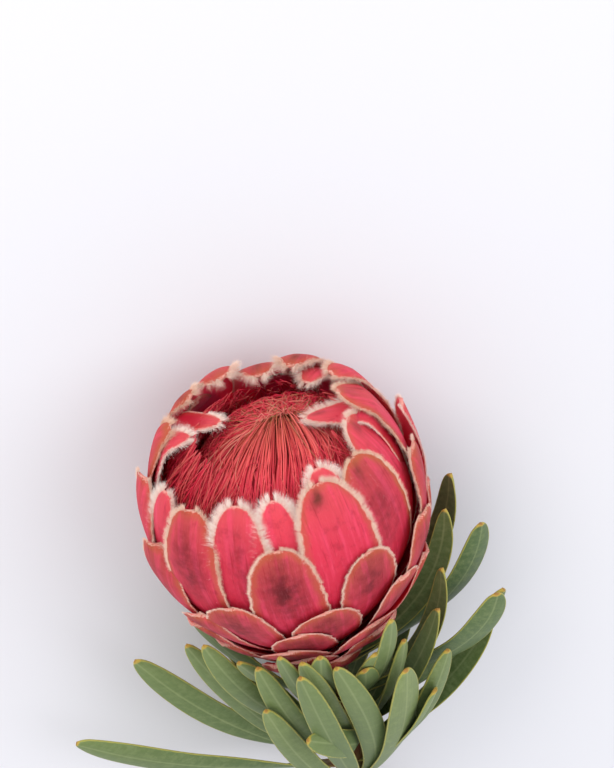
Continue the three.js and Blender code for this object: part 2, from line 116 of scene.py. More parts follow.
# Mass of styles: the dome's outline as radius and height
STYLE_DOME = [(3, 13.9), (8, 19), (25, 43), (28, 57), (27, 68), (23, 77), (15, 84), (3, 88)]
STYLE_APEX = np.array([5.3, 4.0])
DOME_WIDEST = 28
COMBED = 0.55
CORE_DEPTH = 1.6
CORE_RINGS = 40
CORE_TURNS = 96
STRANDS = 720
STRANDS_IN_BUNDLE = 3
STRAND_LAYERS = 2
LAYER_DEPTH = 0.75
STRAND_FOOT = (0.26, 0.3)
STRAND_ENDS_SHORT = 0.07
STRAND_STEPS = 20
STRAND_RADIUS = 0.26
STRAND_TWIST = 4
STRAND_FLICK = (-0.2, 1.6)
TUBE_SIDES = 4
FILAMENT_STEPS = 10
CURL_COUNT = 900
CURL_THICKNESS = 0.16
CURL_TURN_SPREAD = 62
CURL_ARCH = (0.2, 2.0)
GAP_COUNT = 1000
GAP_THICKNESS = 0.2
GAP_FEET = (48, 68)
GAP_TOPS = (76, 90)
GAP_BULGE = (0.6, 7.5)
GAP_LEFT = (-150, -45)
GAP_LEFT_SHARE = 0.6
GAP_HEIGHTS = (43, 57, 68, 77, 90)
GAP_RADII = (27, 29.6, 28.8, 26.5, 21)

# Stem and leaves: the same values as their solids have
STEM_RADIUS = 5
STEM_LENGTH = 112
STEM_TOP = -0.7
CUT_SLANT = 35
LEAF_THICKNESS = 0.8
LEAF_ROOT_DEPTH = 0.4
LEAF_BOW = 0.6
LEAF_RISE = 0.3
LEAF_STAND_OFF = 2
LEAF_TWISTED_AT = 0.5
LEAF_CHANNEL = 0.6
LEAF_NARROW = 3

# What the fine leaves and stem add to their solids' shape
LEAF_ROWS = 36
LEAF_COLUMNS = 11
LEAF_WAVE = 0.25
LEAF_EDGE_THICKNESS = 0.36
MIDRIB = 0.22
MIDRIB_WIDTH = 0.55
STEM_ROWS = 150
STEM_TURNS = 64
STEM_BARK_DEPTH = 0.35
STEM_FLARE = 3.6
STEM_FLARE_LENGTH = 3.5
CUT_RINGS = 12
CUT_HOLLOW = 0.25


# Small maths

def seeded(seed):
    """The same draws from 0 to 1 as the solids use."""
    state = seed
    while True:
        state = (state * 1664525 + 1013904223) % 4294967296
        yield state / 4294967296


def lerp(a, b, t):
    return a + (b - a) * t


def ease(low, high, x):
    t = np.clip((x - low) / (high - low), 0, 1)
    return t * t * (3 - 2 * t)


def unit(vectors):
    return vectors / np.maximum(np.linalg.norm(vectors, axis=-1, keepdims=True), 1e-9)


def around(turn, radius, height):
    """Points from their turn about the axis in degrees, their radius and their height."""
    angle = np.radians(turn)
    return np.stack(np.broadcast_arrays(radius * np.sin(angle), -radius * np.cos(angle), height), -1)


def outline(t):
    """The head's outline as a curve: its radius and height at shares of its length."""
    t = np.asarray(t, float)[..., None]
    a, b, c, d = OUTLINE
    s = 1 - t
    return s**3 * a + 3 * s**2 * t * b + 3 * s * t**2 * c + t**3 * d


def outline_angle(along):
    step = outline(np.asarray(along, float) + SLOPE_STEP) - outline(along)
    return np.arctan2(step[..., 1], step[..., 0])


def under_outline(along, depth, curl=0.0):
    """Points at a depth under the outline, as radius and height.

    With a curl, in degrees, the line leaves the outline at CURL_FROM and turns into the head.
    """
    along = np.asarray(along, float)
    angle = outline_angle(along)
    point = outline(along)
    if curl:
        first = outline_angle(CURL_FROM)
        past = np.maximum(0, along - CURL_FROM) * OUTLINE_PACE
        turned = np.minimum(past / CURL_RADIUS, radians(curl))
        straight = past - turned * CURL_RADIUS
        bent = first + turned
        ahead = CURL_RADIUS * (np.sin(bent) - np.sin(first)) + straight * np.cos(bent)
        above = CURL_RADIUS * (np.cos(first) - np.cos(bent)) + straight * np.sin(bent)
        curled = outline(CURL_FROM) + np.stack([ahead, above], -1)
        angle = np.where(along > CURL_FROM, bent, angle)
        point = np.where((along > CURL_FROM)[..., None], curled, point)
    return point[..., 0] - np.sin(angle) * depth, point[..., 1] + np.cos(angle) * depth


def breadth(height):
    """The head's breadth across at a height, as a share of its depth: the foot is narrower."""
    return lerp(FOOT_BREADTH, HEAD_BREADTH, ease(*BREADTH_GROWS, height))


def surface_level(along):
    """The level whose tips come to the surface here."""
    return np.maximum(0, (along - LOWEST_TIP) / TIP_STEP)


def blade_width(u, shape):
    """Half the width of a bract or leaf, as a share of its widest, with a round tip."""
    root, widest_at = shape["root"], shape["widest_at"]
    body = root + (1 - root) * np.sin(pi / 2 * np.minimum(u / widest_at, 1))
    tip = np.clip((u - widest_at) / (1 - widest_at), 0, 1)
    return body * (1 - TIP_CLOSED * tip ** shape["squareness"]) ** shape["power"]


def lain_over(points):
    """Points or directions of the upright plant, turned about its base to lie on its side."""
    tilt = radians(LYING_TILT)
    x, y, z = np.moveaxis(np.asarray(points, float), -1, 0)
    return np.stack([
        -x,
        -y * sin(tilt) - z * cos(tilt),
        -y * cos(tilt) + z * sin(tilt),
    ], -1)


def lay_down(points):
    """Upright points in millimetres to points of the lying, settled plant in metres."""
    lain = lain_over(points)
    surface = -HEAD_BASE[2] - FLAT_SPOT_RISE
    height = lain[..., 2] - (surface - PRESS_DEPTH)
    dip = (PRESS_DEPTH - lain[..., 0] ** 2 / (2 * BELLY_CURVE_ACROSS)
           - (lain[..., 1] + BELLY_AHEAD) ** 2 / (2 * BELLY_CURVE_ALONG))
    fade = np.maximum(0, 1 - height / PRESS_HEIGHT)
    lain[..., 2] = np.maximum(surface + FLAT_SPOT_RISE, lain[..., 2] + np.maximum(0, dip) * fade)
    return (lain + HEAD_BASE) * MM


# Meshes

# A direction that no strand or hair runs along
ACROSS_STRANDS = (0.31, 0.17, 0.93)

# How far apart the noise of one bract or leaf lies from the next one's
BRACT_NOISE_STEP = 7.3
LEAF_NOISE_STEP = 5.1


def new_object(name, data):
    made = bpy.data.objects.new(name, data)
    bpy.context.scene.collection.objects.link(made)
    return made


class Pieces:
    """Gathers loose meshes with values at their points, and joins them in one object."""

    def __init__(self):
        self.points, self.faces, self.values, self.count = [], [], {}, 0

    def add(self, points, *faces, **values):
        points = points.reshape(-1, 3)
        self.points.append(points)
        self.faces += [f + self.count for f in faces if len(f)]
        for name, value in values.items():
            size = 3 if np.ndim(value) and np.shape(value)[-1] == 3 else 1
            full = np.broadcast_to(np.asarray(value, float).reshape(-1, size), (len(points), size))
            self.values.setdefault(name, []).append(full)
        self.count += len(points)

    def build(self, name, material, smooth=True):
        mesh = bpy.data.meshes.new(name)
        points = lay_down(np.concatenate(self.points))
        corners = np.concatenate([f.ravel() for f in self.faces])
        sizes = np.concatenate([np.full(len(f), f.shape[1]) for f in self.faces])
        starts = np.concatenate([[0], np.cumsum(sizes)[:-1]])
        mesh.vertices.add(len(points))
        mesh.vertices.foreach_set("co", points.ravel())
        mesh.loops.add(len(corners))
        mesh.loops.foreach_set("vertex_index", corners.astype(np.int32))
        mesh.polygons.add(len(sizes))
        mesh.polygons.foreach_set("loop_start", starts.astype(np.int32))
        mesh.polygons.foreach_set("loop_total", sizes.astype(np.int32))
        mesh.polygons.foreach_set("use_smooth", np.full(len(sizes), smooth))
        mesh.update(calc_edges=True)
        for key, parts in self.values.items():
            data = np.concatenate(parts).astype(np.float32)
            kind, field = ("FLOAT_VECTOR", "vector") if data.shape[1] == 3 else ("FLOAT", "value")
            mesh.attributes.new(key, kind, "POINT").data.foreach_set(field, data.ravel())
        mesh.materials.append(material)
        return new_object(name, mesh)


def quads(a, b, c, d):
    return np.stack([a, b, c, d], -1).reshape(-1, 4)


def blade_faces(rows, columns):
    """Faces of a closed blade whose outer grid of points comes first and its inner one second."""
    front = np.arange(rows * columns).reshape(rows, columns)
    back = front + rows * columns
    return np.concatenate([
        quads(front[:-1, :-1], front[:-1, 1:], front[1:, 1:], front[1:, :-1]),
        quads(back[:-1, :-1], back[1:, :-1], back[1:, 1:], back[:-1, 1:]),
        quads(front[:-1, 0], front[1:, 0], back[1:, 0], back[:-1, 0]),
        quads(front[:-1, -1], back[:-1, -1], back[1:, -1], front[1:, -1]),
        quads(front[0, :-1], back[0, :-1], back[0, 1:], front[0, 1:]),
        quads(front[-1, :-1], front[-1, 1:], back[-1, 1:], back[-1, :-1]),
    ])


def ring_faces(rings, turns):
    """Faces between rings of points that run round and close on themselves."""
    index = np.arange(rings * turns).reshape(rings, turns)
    after = np.roll(index, -1, axis=1)
    return quads(index[:-1], index[1:], after[1:], after[:-1])


def circles(axis, sides):
    """Unit circles of points, square to each axis."""
    first = unit(np.cross(axis, ACROSS_STRANDS))
    second = np.cross(axis, first)
    angle = tau * np.arange(sides) / sides
    return first[..., None, :] * np.cos(angle)[:, None] + second[..., None, :] * np.sin(angle)[:, None]


def tube_mesh(paths, radii):
    """Closed square tubes along paths (number, steps, 3) with radii (number, steps)."""
    ring = circles(unit(np.gradient(paths, axis=1)), TUBE_SIDES)
    points = paths[:, :, None] + ring * radii[:, :, None, None]
    index = np.arange(points[..., 0].size).reshape(points.shape[:3])
    after = np.roll(index, -1, axis=2)
    walls = quads(index[:, :-1], after[:, :-1], after[:, 1:], index[:, 1:])
    foot = index[:, 0][:, [[0, 2, 1], [0, 3, 2]]]
    end = index[:, -1][:, [[0, 1, 2], [0, 2, 3]]]
    return points, walls, np.concatenate([foot.reshape(-1, 3), end.reshape(-1, 3)])


def blade_grid(rows, columns, easing):
    """Shares of the length and of the half width over a blade, closer together at tip and edges."""
    u = 1 - (1 - np.linspace(0, 1, rows)) ** easing
    v = np.sin(pi / 2 * np.linspace(-1, 1, columns))
    return np.broadcast_arrays(u[:, None], v[None, :])


def add_blade(pieces, faces, u, v, half, length, seed, look, **values):
    """Adds a closed blade from its outer and inner points, with the values that both faces share."""
    even = np.ones_like(u)
    edge = np.minimum(half * (1 - np.abs(v)), length * (1 - u))
    shared = {
        "blade": [half * v, length * u, seed * even],
        "place": [u, v, edge],
        "look": [part * even for part in look],
    }
    both = {name: np.stack([np.stack(parts, -1)] * 2) for name, parts in shared.items()}
    pieces.add(np.stack(faces), blade_faces(*u.shape), **both, **values)


def finish_piece(pieces, name, material, replaced=None, smooth=True):
    piece = pieces.build(name, material, smooth)
    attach(piece, "root")
    if replaced:
        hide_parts(replaced)


def hair_mesh(roots, tips, radius):
    """Three-sided hairs that taper from their roots to their tips."""
    ring = circles(unit(tips - roots), 3)
    points = np.concatenate([roots[:, None] + ring * radius[:, None, None], tips[:, None]], 1)
    base = 4 * np.arange(len(roots))[:, None]
    sides = np.concatenate([base + [i, (i + 1) % 3, 3] for i in range(3)])
    return points, sides, np.tile([0.0, 0.0, 0.0, 1.0], len(roots))


# Shader nodes

class Shader:
    """A material whose colour, roughness and bump come from values at the points and from noise."""

    def __init__(self, name, **settings):
        self.material = bpy.data.materials.new(name)
        self.material.use_nodes = True
        self.tree = self.material.node_tree
        self.shader = self.tree.nodes["Principled BSDF"]
        for socket, value in settings.items():
            self.feed(self.shader.inputs[socket.replace("_", " ")], value)

    def feed(self, socket, value):
        """Sets a socket to a number or to a colour's hex code, or links a node's output to it."""
        if isinstance(value, bpy.types.NodeSocket):
            self.tree.links.new(value, socket)
        else:
            socket.default_value = colour(value) if isinstance(value, str) else value

    def node(self, kind, settings=(), **inputs):
        node = self.tree.nodes.new("ShaderNode" + kind)
        for key, value in dict(settings).items():
            setattr(node, key, value)
        for key, value in inputs.items():
            self.feed(node.inputs[int(key[1:]) if key[1:].isdigit() else key], value)
        return node

    def attribute(self, name):
        return self.node("Attribute", {"attribute_name": name}).outputs["Fac"]

    def parts(self, name):
        """The three numbers of a vector value."""
        vector = self.node("Attribute", {"attribute_name": name}).outputs["Vector"]
        return self.node("SeparateXYZ", _0=vector).outputs[0:3]

    def math(self, operation, a, b=0.0, clamp=False):
        settings = {"operation": operation, "use_clamp": clamp}
        return self.node("Math", settings, _0=a, _1=b).outputs[0]

    def plus(self, a, b):
        return self.math("ADD", a, b)

    def times(self, a, b, clamp=False):
        return self.math("MULTIPLY", a, b, clamp)

    def mix(self, share, a, b):
        node = self.node("Mix", {"data_type": "RGBA"}, _0=share, _6=a, _7=b)
        return node.outputs[2]

    def span(self, value, low, high, to_low=0.0, to_high=1.0):
        """A value's way from low to high, eased, as a number from to_low to to_high."""
        settings = {"interpolation_type": "SMOOTHSTEP"}
        node = self.node("MapRange", settings, _0=value, _1=low, _2=high, _3=to_low, _4=to_high)
        return node.outputs[0]

    def tinted(self, base, tint, value, low, high, most=1.0):
        """The base with a tint mixed in, from none where a value is low to the most where it is high."""
        return self.mix(self.span(value, low, high, 0.0, most), base, tint)

    def noise(self, place, scale, detail=3.0, roughness=0.55):
        vector = self.node("CombineXYZ", _0=place[0], _1=place[1], _2=place[2]).outputs[0]
        return self.node("TexNoise", Vector=vector, Scale=scale, Detail=detail,
                         Roughness=roughness).outputs[0]

    def streaks(self, blade, across, lengthwise, detail=3.0):
        """Noise with its own scale, per millimetre, across a blade and along it."""
        side, along, seed = blade
        return self.noise((self.times(side, across), self.times(along, lengthwise), seed), 1.0, detail)

    def ramp(self, value, stops):
        node = self.node("ValToRGB", Fac=value)
        ramp = node.color_ramp
        while len(ramp.elements) < len(stops):
            ramp.elements.new(0.5)
        for element, (place, tint) in zip(ramp.elements, stops):
            element.position = place
            element.color = colour(tint)
        return node.outputs[0]

    def finish(self, base, roughness=None, bump=None, strength=0.3, distance=0.0002):
        self.feed(self.shader.inputs["Base Color"], base)
        if roughness is not None:
            self.feed(self.shader.inputs["Roughness"], roughness)
        if bump is not None:
            node = self.node("Bump", Strength=strength, Distance=distance, Height=bump)
            self.feed(self.shader.inputs["Normal"], node.outputs[0])
        return self.material


def colour(code):
    """A hex colour as it looks on screen, as a linear one with alpha."""
    parts = [int(code[i:i + 2], 16) / 255 for i in (0, 2, 4)]
    linear = [p / 12.92 if p <= 0.04045 else ((p + 0.055) / 1.055) ** 2.4 for p in parts]
    return (*linear, 1.0)


def bract_body(s, u, dusk, blade):
    """The tint of a bract's outer face from root to tip, with streaks along it."""
    hot = s.ramp(u, [(0.0, "900a20"), (0.25, "b41230"), (0.5, "c41a3a"), (0.8, "da344e"),
                     (1.0, "d84a56")])
    dull = s.ramp(u, [(0.0, "7c0e1c"), (0.3, "a82038"), (0.55, "bc3248"), (0.85, "b03c42"),
                      (1.0, "a84a3c")])
    body = s.mix(s.times(dusk, s.span(u, 0.55, 0.88, 0.4, 1.0)), hot, dull)
    broad = s.streaks(blade, 0.55, 0.045)
    narrow = s.streaks(blade, 1.6, 0.08)
    body = s.tinted(body, "ea4a6c", broad, 0.46, 0.68, 0.48)
    body = s.tinted(body, "940a20", narrow, 0.45, 0.25, 0.5)
    return body, narrow


def bract_heart(s, body, u, v, amount, mottle):
    """A soft, ragged maroon cloud in the upper middle of the part that shows."""
    centre, half_length, half_width = 0.79, 0.17, 0.6
    long_way = s.math("POWER", s.math("DIVIDE", s.plus(u, -centre), half_length), 2.0)
    cross_way = s.math("POWER", s.math("DIVIDE", v, half_width), 2.0)
    cloud = s.math("EXPONENT", s.times(s.plus(long_way, cross_way), -1.0))
    cloud = s.times(cloud, s.span(mottle, 0.3, 0.62, 0.5, 1.0))
    return s.mix(s.times(cloud, amount, clamp=True), body, "5e1018")


def bract_margin(s, body, edge, u, rim, mottle, blade):
    """A thin orange-brown margin, then a cream lip, streaked, that the fringe grows from."""
    ragged = s.plus(edge, s.span(mottle, 0.3, 0.7, -0.5, 0.5))
    shown = s.span(u, 0.35, 0.65)
    brown = s.times(s.span(ragged, 3.0, 0.6), s.times(shown, rim))
    body = s.mix(s.times(brown, 0.95), body, "ac5a34")
    flecks = s.streaks(blade, 3.0, 3.0)
    streaky = s.plus(edge, s.span(flecks, 0.3, 0.7, -0.45, 0.45))
    hot_lip = s.math("SUBTRACT", 1.0, s.times(rim, 0.85))
    toward_tip = s.span(u, 0.45, 0.95, 0.2, 1.0)
    reach = s.times(s.times(toward_tip, hot_lip), 0.8)
    lip = s.math("SUBTRACT", 1.0, s.math("DIVIDE", streaky, s.plus(reach, 0.05)), clamp=True)
    lip = s.times(s.span(lip, 0.0, 0.5), shown)
    return s.mix(s.times(lip, 0.6), body, "e6b8a8")


def bract_material():
    """Velvety bracts: pinkish red to dusky red, with a maroon heart and a brown or pale margin."""
    s = Shader("bract_velvet", Roughness=0.62, Sheen_Weight=0.03, Sheen_Roughness=0.5,
               Sheen_Tint="ff9fa0", Subsurface_Weight=0.3, Subsurface_Scale=0.003,
               Subsurface_Radius=(1.0, 0.2, 0.25), Specular_IOR_Level=0.16)
    blade = s.parts("blade")
    u, v, edge = s.parts("place")
    dusk, heart, rim = s.parts("look")
    burn, inner, bare = s.parts("marks")
    body, narrow = bract_body(s, u, dusk, blade)
    mottle = s.noise(blade, 0.3, 5.0)
    fine = s.streaks(blade, 6.0, 0.5)
    body = s.tinted(body, "86101e", mottle, 0.52, 0.72, 0.3)
    body = bract_heart(s, body, u, v, heart, mottle)
    body = s.tinted(body, "f0909a", fine, 0.5, 0.7, 0.08)
    # The inner faces' lining is the bracts' own crimson made brighter: painted light that stands in for
    # light shining through the bracts into the shaded cup.
    lining_and_painted_glow = s.ramp(u, [(0.0, "c80e34"), (0.5, "f01a48"), (0.8, "f82e56"), (1.0, "f86078")])
    # Up to the share given by its mark, the outer face of a hooked bract is painted dark crimson: painted
    # shade under its curled tip.
    body = s.mix(inner, s.mix(bare, body, "a80a26"), lining_and_painted_glow)
    body = bract_margin(s, body, edge, u, rim, mottle, blade)
    body = s.mix(s.times(burn, s.span(mottle, 0.3, 0.6, 0.6, 1.0)), body, "4a2814")
    height = s.plus(s.times(narrow, 0.6), s.times(fine, 0.4))
    return s.finish(body, s.span(fine, 0.3, 0.7, 0.54, 0.7), height)


def fringe_material():
    """Hairs: faintly pink at the root and cream at the tip, browner on brown-rimmed bracts."""
    s = Shader("white_fringe", Roughness=0.9, Specular_IOR_Level=0.05)
    base = s.ramp(s.attribute("along"), [(0.0, "f0c8bc"), (0.3, "fae6dc"), (1.0, "fff8f2")])
    return s.finish(s.tinted(base, "e8bc9c", s.attribute("tone"), 0.15, 0.9, 0.75))


def style_material():
    """Strands: pinkish red, brown to olive where they meet at the top, and deep crimson low down as
    painted shade.
    """
    s = Shader("style_strands", Roughness=0.5, Specular_IOR_Level=0.2, Subsurface_Weight=0.08,
               Subsurface_Scale=0.002, Subsurface_Radius=(1.0, 0.3, 0.2))
    along = s.attribute("along")
    tone = s.attribute("tone")
    grain = s.noise((s.times(s.attribute("seed"), 40.0), s.times(along, 9.0), 0.0), 1.0)
    # The deep crimson towards the strands' foot is painted shade, down in the cup of bracts.
    base = s.ramp(along, [(0.0, "5c0510"), (0.4, "9a0a20"), (0.62, "d0203c"), (0.78, "ea4458"),
                          (0.88, "e05454"), (0.96, "bc5e44"), (1.0, "86643a")])
    # Each strand's tone is drawn at random: its pale pink end is painted highlight and its crimson end
    # painted shade.
    base = s.tinted(base, "fb7472", tone, 0.4, 0.9, 0.75)
    base = s.tinted(base, "b01430", tone, 0.3, 0.0, 0.7)
    base = s.tinted(base, "f0706c", grain, 0.5, 0.75, 0.4)
    return s.finish(base, s.span(grain, 0.3, 0.7, 0.4, 0.58))


def core_material():
    s = Shader("style_depths", Roughness=0.8, Specular_IOR_Level=0.1)
    # Deep red all over, browner at the top: painted shade between the strands.
    return s.finish(s.ramp(s.attribute("along"), [(0.0, "900c22"), (0.8, "a01028"), (1.0, "80382a")]))


def filament_material():
    """Filaments: deep red in the gaps, pale pink and pale orange where they curl over the top."""
    s = Shader("crown_filaments", Roughness=0.45, Specular_IOR_Level=0.3)
    return s.finish(s.ramp(s.attribute("tone"), [
        (0.0, "b00c2a"), (0.3, "cc1c3a"), (0.55, "d83a4c"), (0.75, "d85c58"), (0.9, "e08878"),
        (1.0, "a8784c"),
    ]))


def leaf_material():
    """Waxy grey-green leaves with a thin yellow edge and a small orange-brown tip."""
    s = Shader("waxy_leaf", Roughness=0.5, Sheen_Weight=0.05, Sheen_Tint="dfe8e4",
               Specular_IOR_Level=0.3, Subsurface_Weight=0.05, Subsurface_Scale=0.002,
               Subsurface_Radius=(0.5, 1.0, 0.3))
    blade = s.parts("blade")
    side, along, seed = blade
    u, _, edge = s.parts("place")
    painted_shade, tone, from_tip = s.parts("look")
    veins = s.streaks(blade, 1.6, 0.1)
    bloom = s.noise((s.plus(side, s.times(along, 0.4)), along, seed), 0.4, 5.0, 0.7)
    grain = s.noise(blade, 4.0, 2.0)
    pale = s.ramp(u, [(0.0, "40532a"), (0.3, "526432"), (0.75, "687840"), (1.0, "78884a")])
    # pale is the green as lit; deep is the same green as painted shade, mixed in by each leaf's share of
    # it.
    deep = s.ramp(u, [(0.0, "2f4224"), (0.5, "40562f"), (1.0, "4d6238")])
    base = s.mix(painted_shade, pale, deep)
    base = s.tinted(base, "909c6a", bloom, 0.35, 0.75, 0.55)
    base = s.tinted(base, "4c6339", veins, 0.4, 0.8, 0.3)
    base = s.tinted(base, "4e6638", tone, 0.0, 1.0, 0.35)
    base = s.tinted(base, "a3ad78", s.math("ABSOLUTE", side), 0.5, 0.1, 0.25)
    ragged = s.plus(edge, s.span(bloom, 0.3, 0.7, -0.15, 0.15))
    base = s.tinted(base, "a8a24c", ragged, 0.42, 0.1, 0.8)
    tip = s.plus(from_tip, s.span(bloom, 0.3, 0.7, -0.25, 0.25))
    base = s.tinted(base, "bc9c3c", tip, 1.1, 0.4, 0.75)
    base = s.tinted(base, "a07838", tip, 0.3, 0.05)
    base = s.tinted(base, "8b4a38", u, 0.12, 0.0)
    height = s.plus(s.times(veins, 0.7), s.times(grain, 0.3))
    return s.finish(base, s.span(bloom, 0.3, 0.7, 0.44, 0.6), height, strength=0.25)


def stem_material():
    """Woody stem: green to red-brown bark with fine cracks and scars, and a pale cut face."""
    s = Shader("woody_stem", Roughness=0.65, Specular_IOR_Level=0.3)
    turn, along, cut = s.parts("blade")
    bark = s.streaks((turn, along, 0.0), 2.2, 0.12, 5.0)
    blotch = s.noise((turn, s.times(along, 0.2), 3.0), 0.6)
    base = s.ramp(blotch, [(0.3, "6f7a48"), (0.5, "87683f"), (0.7, "8a4a36")])
    base = s.tinted(base, "4f3a28", bark, 0.5, 0.75, 0.6)
    base = s.mix(s.attribute("scar"), base, "5b3526")
    face = s.mix(s.noise((turn, along, 7.0), 1.4, 4.0), "d9cfa2", "b5a56c")
    pith = s.attribute("pith")
    face = s.tinted(face, "8d7a4c", pith, 0.35, 0.25)
    face = s.tinted(face, "6d7d3c", pith, 0.82, 0.92)
    base = s.mix(cut, base, face)
    return s.finish(base, s.span(bark, 0.3, 0.7, 0.55, 0.8), bark, strength=0.5, distance=0.0004)


# Bracts

# Share of a bract's length where its fringe begins
FRINGE_FROM = 0.42


def bract(turn, reach, width, level, lean=0.0, curl=0.0, **look):
    """A bract's place and shape, and its looks.

    The place and shape are its solid's, but for a little more curl and reach in some far bracts.
    dusk runs from hot pink to dusky red, heart is the strength of the maroon cloud and rim that of
    the brown margin. fringe is the hairs' length at the tip, in millimetres. burn is the strength of
    a brown spot by the tip, and burn_at the share of the width where it lies. bare is the share of
    the length up to which the outer face is painted dark crimson, as shade, and has no fringe. sides
    is the share of the length where the fringe begins.
    """
    looks = {"dusk": 0.2, "heart": 0.1, "rim": 0.1, "fringe": 2.2, "burn": 0.0, "burn_at": 0.0,
             "bare": 0.0, "sides": FRINGE_FROM, **look}
    return {"turn": turn, "reach": reach, "width": width, "level": level, "lean": lean, "curl": curl,
            **looks}


def even_whorl(level, first, reach, front_drop, width, seed, **look):
    """A whorl of bracts alike but for the same small seeded spread as its solids have."""
    draw = seeded(seed)
    whorl = []
    for i in range(WHORL_COUNT):
        turn = first + 360 / WHORL_COUNT * i + TURN_SPREAD * (next(draw) - 0.5)
        front = max(0.0, cos(radians(turn)))
        along = reach + REACH_SPREAD * (next(draw) - 0.5) - front_drop * front**2
        wide = width * (1 + WIDTH_SPREAD * (next(draw) - 0.5))
        whorl.append(bract(turn, along, wide, level, **look))
    return whorl


OUTER_WHORLS = [
    *even_whorl(0, 12, 0.3, 0, 16, 11, dusk=1.0, heart=0.3, rim=0.45, fringe=0.25),
    *even_whorl(1, -12, 0.41, 0.02, 21, 12, dusk=1.0, heart=0.5, rim=0.45, fringe=0.3),
    *even_whorl(2, 27, 0.52, 0.05, 23, 13, dusk=0.95, heart=0.65, rim=0.45, fringe=0.35),
]
MIDDLE_BRACTS = [
    bract(-95, 0.64, 20, 3, dusk=0.75, heart=0.5, rim=0.4, fringe=0.58),
    bract(-52, 0.62, 20, 3, dusk=0.9, heart=0.8, rim=0.4, fringe=0.5),
    bract(-9, 0.555, 19.5, 3, dusk=0.95, heart=0.8, rim=0.4, fringe=0.43),
    bract(42, 0.605, 21, 3, dusk=0.95, heart=0.8, rim=0.4, fringe=0.5),
    bract(94, 0.64, 22, 3, dusk=0.85, heart=0.6, rim=0.4, fringe=0.58),
    *[bract(turn, 0.645, width, 3, dusk=0.9, heart=0.5, rim=0.4, fringe=0.5)
      for turn, width in ((130, 24), (175, 25), (-140, 24))],
    bract(-70, 0.81, 22, 4, dusk=0.75, heart=0.5, rim=0.6, fringe=0.8),
    bract(-33, 0.69, 22, 4, dusk=0.8, heart=0.8, rim=0.5, fringe=0.72),
    bract(4, 0.63, 22, 4, dusk=0.95, heart=0.9, rim=0.5, fringe=0.58),
    bract(61, 0.725, 23, 4, dusk=0.85, heart=0.85, rim=0.6, fringe=0.72),
    bract(110, 0.7, 23, 4, dusk=0.8, heart=0.5, rim=0.5, fringe=0.72),
    *[bract(turn, 0.71, 25, 4, dusk=dusk, heart=0.5, rim=0.5, fringe=0.65)
      for turn, dusk in ((148, 0.8), (-171, 0.8), (-125, 0.7))],
]
FRONT_BRACTS = [
    bract(-91, 0.93, 21, 5, 2, dusk=0.35, heart=0.25, rim=0.5, fringe=1.5),
    bract(-49, 0.965, 19, 5, 1.5, dusk=0.5, heart=0.8, rim=0.6, fringe=1.7),
    bract(-9, 0.872, 21, 5, dusk=0.75, heart=1.0, rim=0.55, fringe=1.1),
    bract(27, 0.77, 20, 5, dusk=0.9, heart=0.8, rim=0.5, fringe=0.9),
    bract(80, 0.86, 25, 5, 1, dusk=0.7, heart=0.6, rim=0.5, fringe=1.4),
    bract(-70, 0.965, 15, 6, 0.5, dusk=0.05, heart=0.2, fringe=2.8),
    bract(-26, 0.99, 18, 6, dusk=0.15, heart=0.5, rim=0.15, fringe=2.8),
    bract(18.5, 1.0, 23, 6, dusk=0.15, rim=0.5, fringe=1.9, burn=1.0, burn_at=-0.3),
    bract(45, 1.0, 24, 6.7, -0.5, dusk=0.5, heart=0.6, rim=0.8, fringe=1.4, burn=0.6, burn_at=-0.15),
    bract(97, 1.085, 22, 6.7, 2, 30, dusk=0.45, heart=0.0, rim=0.6, fringe=1.8, burn=0.4),
    bract(-6.5, 0.995, 14.5, 7, dusk=0.0, rim=0.0, fringe=3.0),
    bract(23, 1.03, 17, 7.4, dusk=0.05, heart=0.0, fringe=2.5),
    bract(68, 1.055, 24, 7.4, -1, dusk=0.1, heart=0.15, rim=0.4, fringe=2.0, burn=0.7),
]
FAR_BRACTS = [
    bract(103, 0.89, 20, 5, 4, dusk=0.4, fringe=1.3),
    *[bract(turn, 0.95, 23, 5, lean, dusk=0.6, heart=0.4, rim=0.6, fringe=1.3)
      for turn, lean in ((128, 0), (166, 0), (-150, 0.6), (-122, 0))],
    bract(122, 1.05, 20, 6, 3, 60, dusk=0.35, rim=0.5, sides=0.6),
    bract(152, 1.06, 20, 6, 4, 80, dusk=0.85, rim=0.45, fringe=3.4, sides=0.9, burn=0.6),
    bract(-160, 1.055, 20, 6, 4.5, 80, dusk=0.7, rim=0.45, fringe=3.4, sides=0.9),
    bract(-136, 1.04, 19, 6, 3, 70, dusk=0.9, rim=0.6, fringe=3.2, sides=0.9, burn=0.4),
    bract(-108, 1.035, 17, 6, 2, 60, dusk=0.6, rim=0.8, fringe=2.6, sides=0.9),
    bract(176, 1.07, 20, 6.7, 3, 90, dusk=0.8, rim=0.4, fringe=3.4, sides=0.9, burn=0.6),
    bract(138, 1.085, 16, 7.4, 3, 75, rim=0.3, sides=0.7, fringe=2.8),
    bract(-103, 1.08, 13, 7.4, 2, 70, dusk=0.15, rim=0.15, sides=0.75, fringe=2.8),
    bract(86, 1.16, 14, 8.1, 4, 62, dusk=0.1, rim=0.2, fringe=2.6, burn=0.5, burn_at=0.3, bare=0.8),
    bract(-121, 1.14, 11, 8.1, 4, 62, dusk=0.3, rim=0.2, fringe=2.8, bare=0.95),
]


def tier(order, first_number, root_along, rows, bracts):
    """A tier's bracts, each with the values of its tier, a number and a phase for its ripples."""
    return [{**b, "order": order, "root_along": root_along, "rows": rows, "number": number,
             "phase": (GOLDEN_SHARE * number) % 1} for number, b in enumerate(bracts, first_number)]


TIERS = {
    "outer": tier(0, 0, 0.08, 28, OUTER_WHORLS),
    "middle": tier(1, 30, 0.14, 36, MIDDLE_BRACTS),
    "inner": tier(2, 60, 0.2, 40, FRONT_BRACTS + FAR_BRACTS),
}


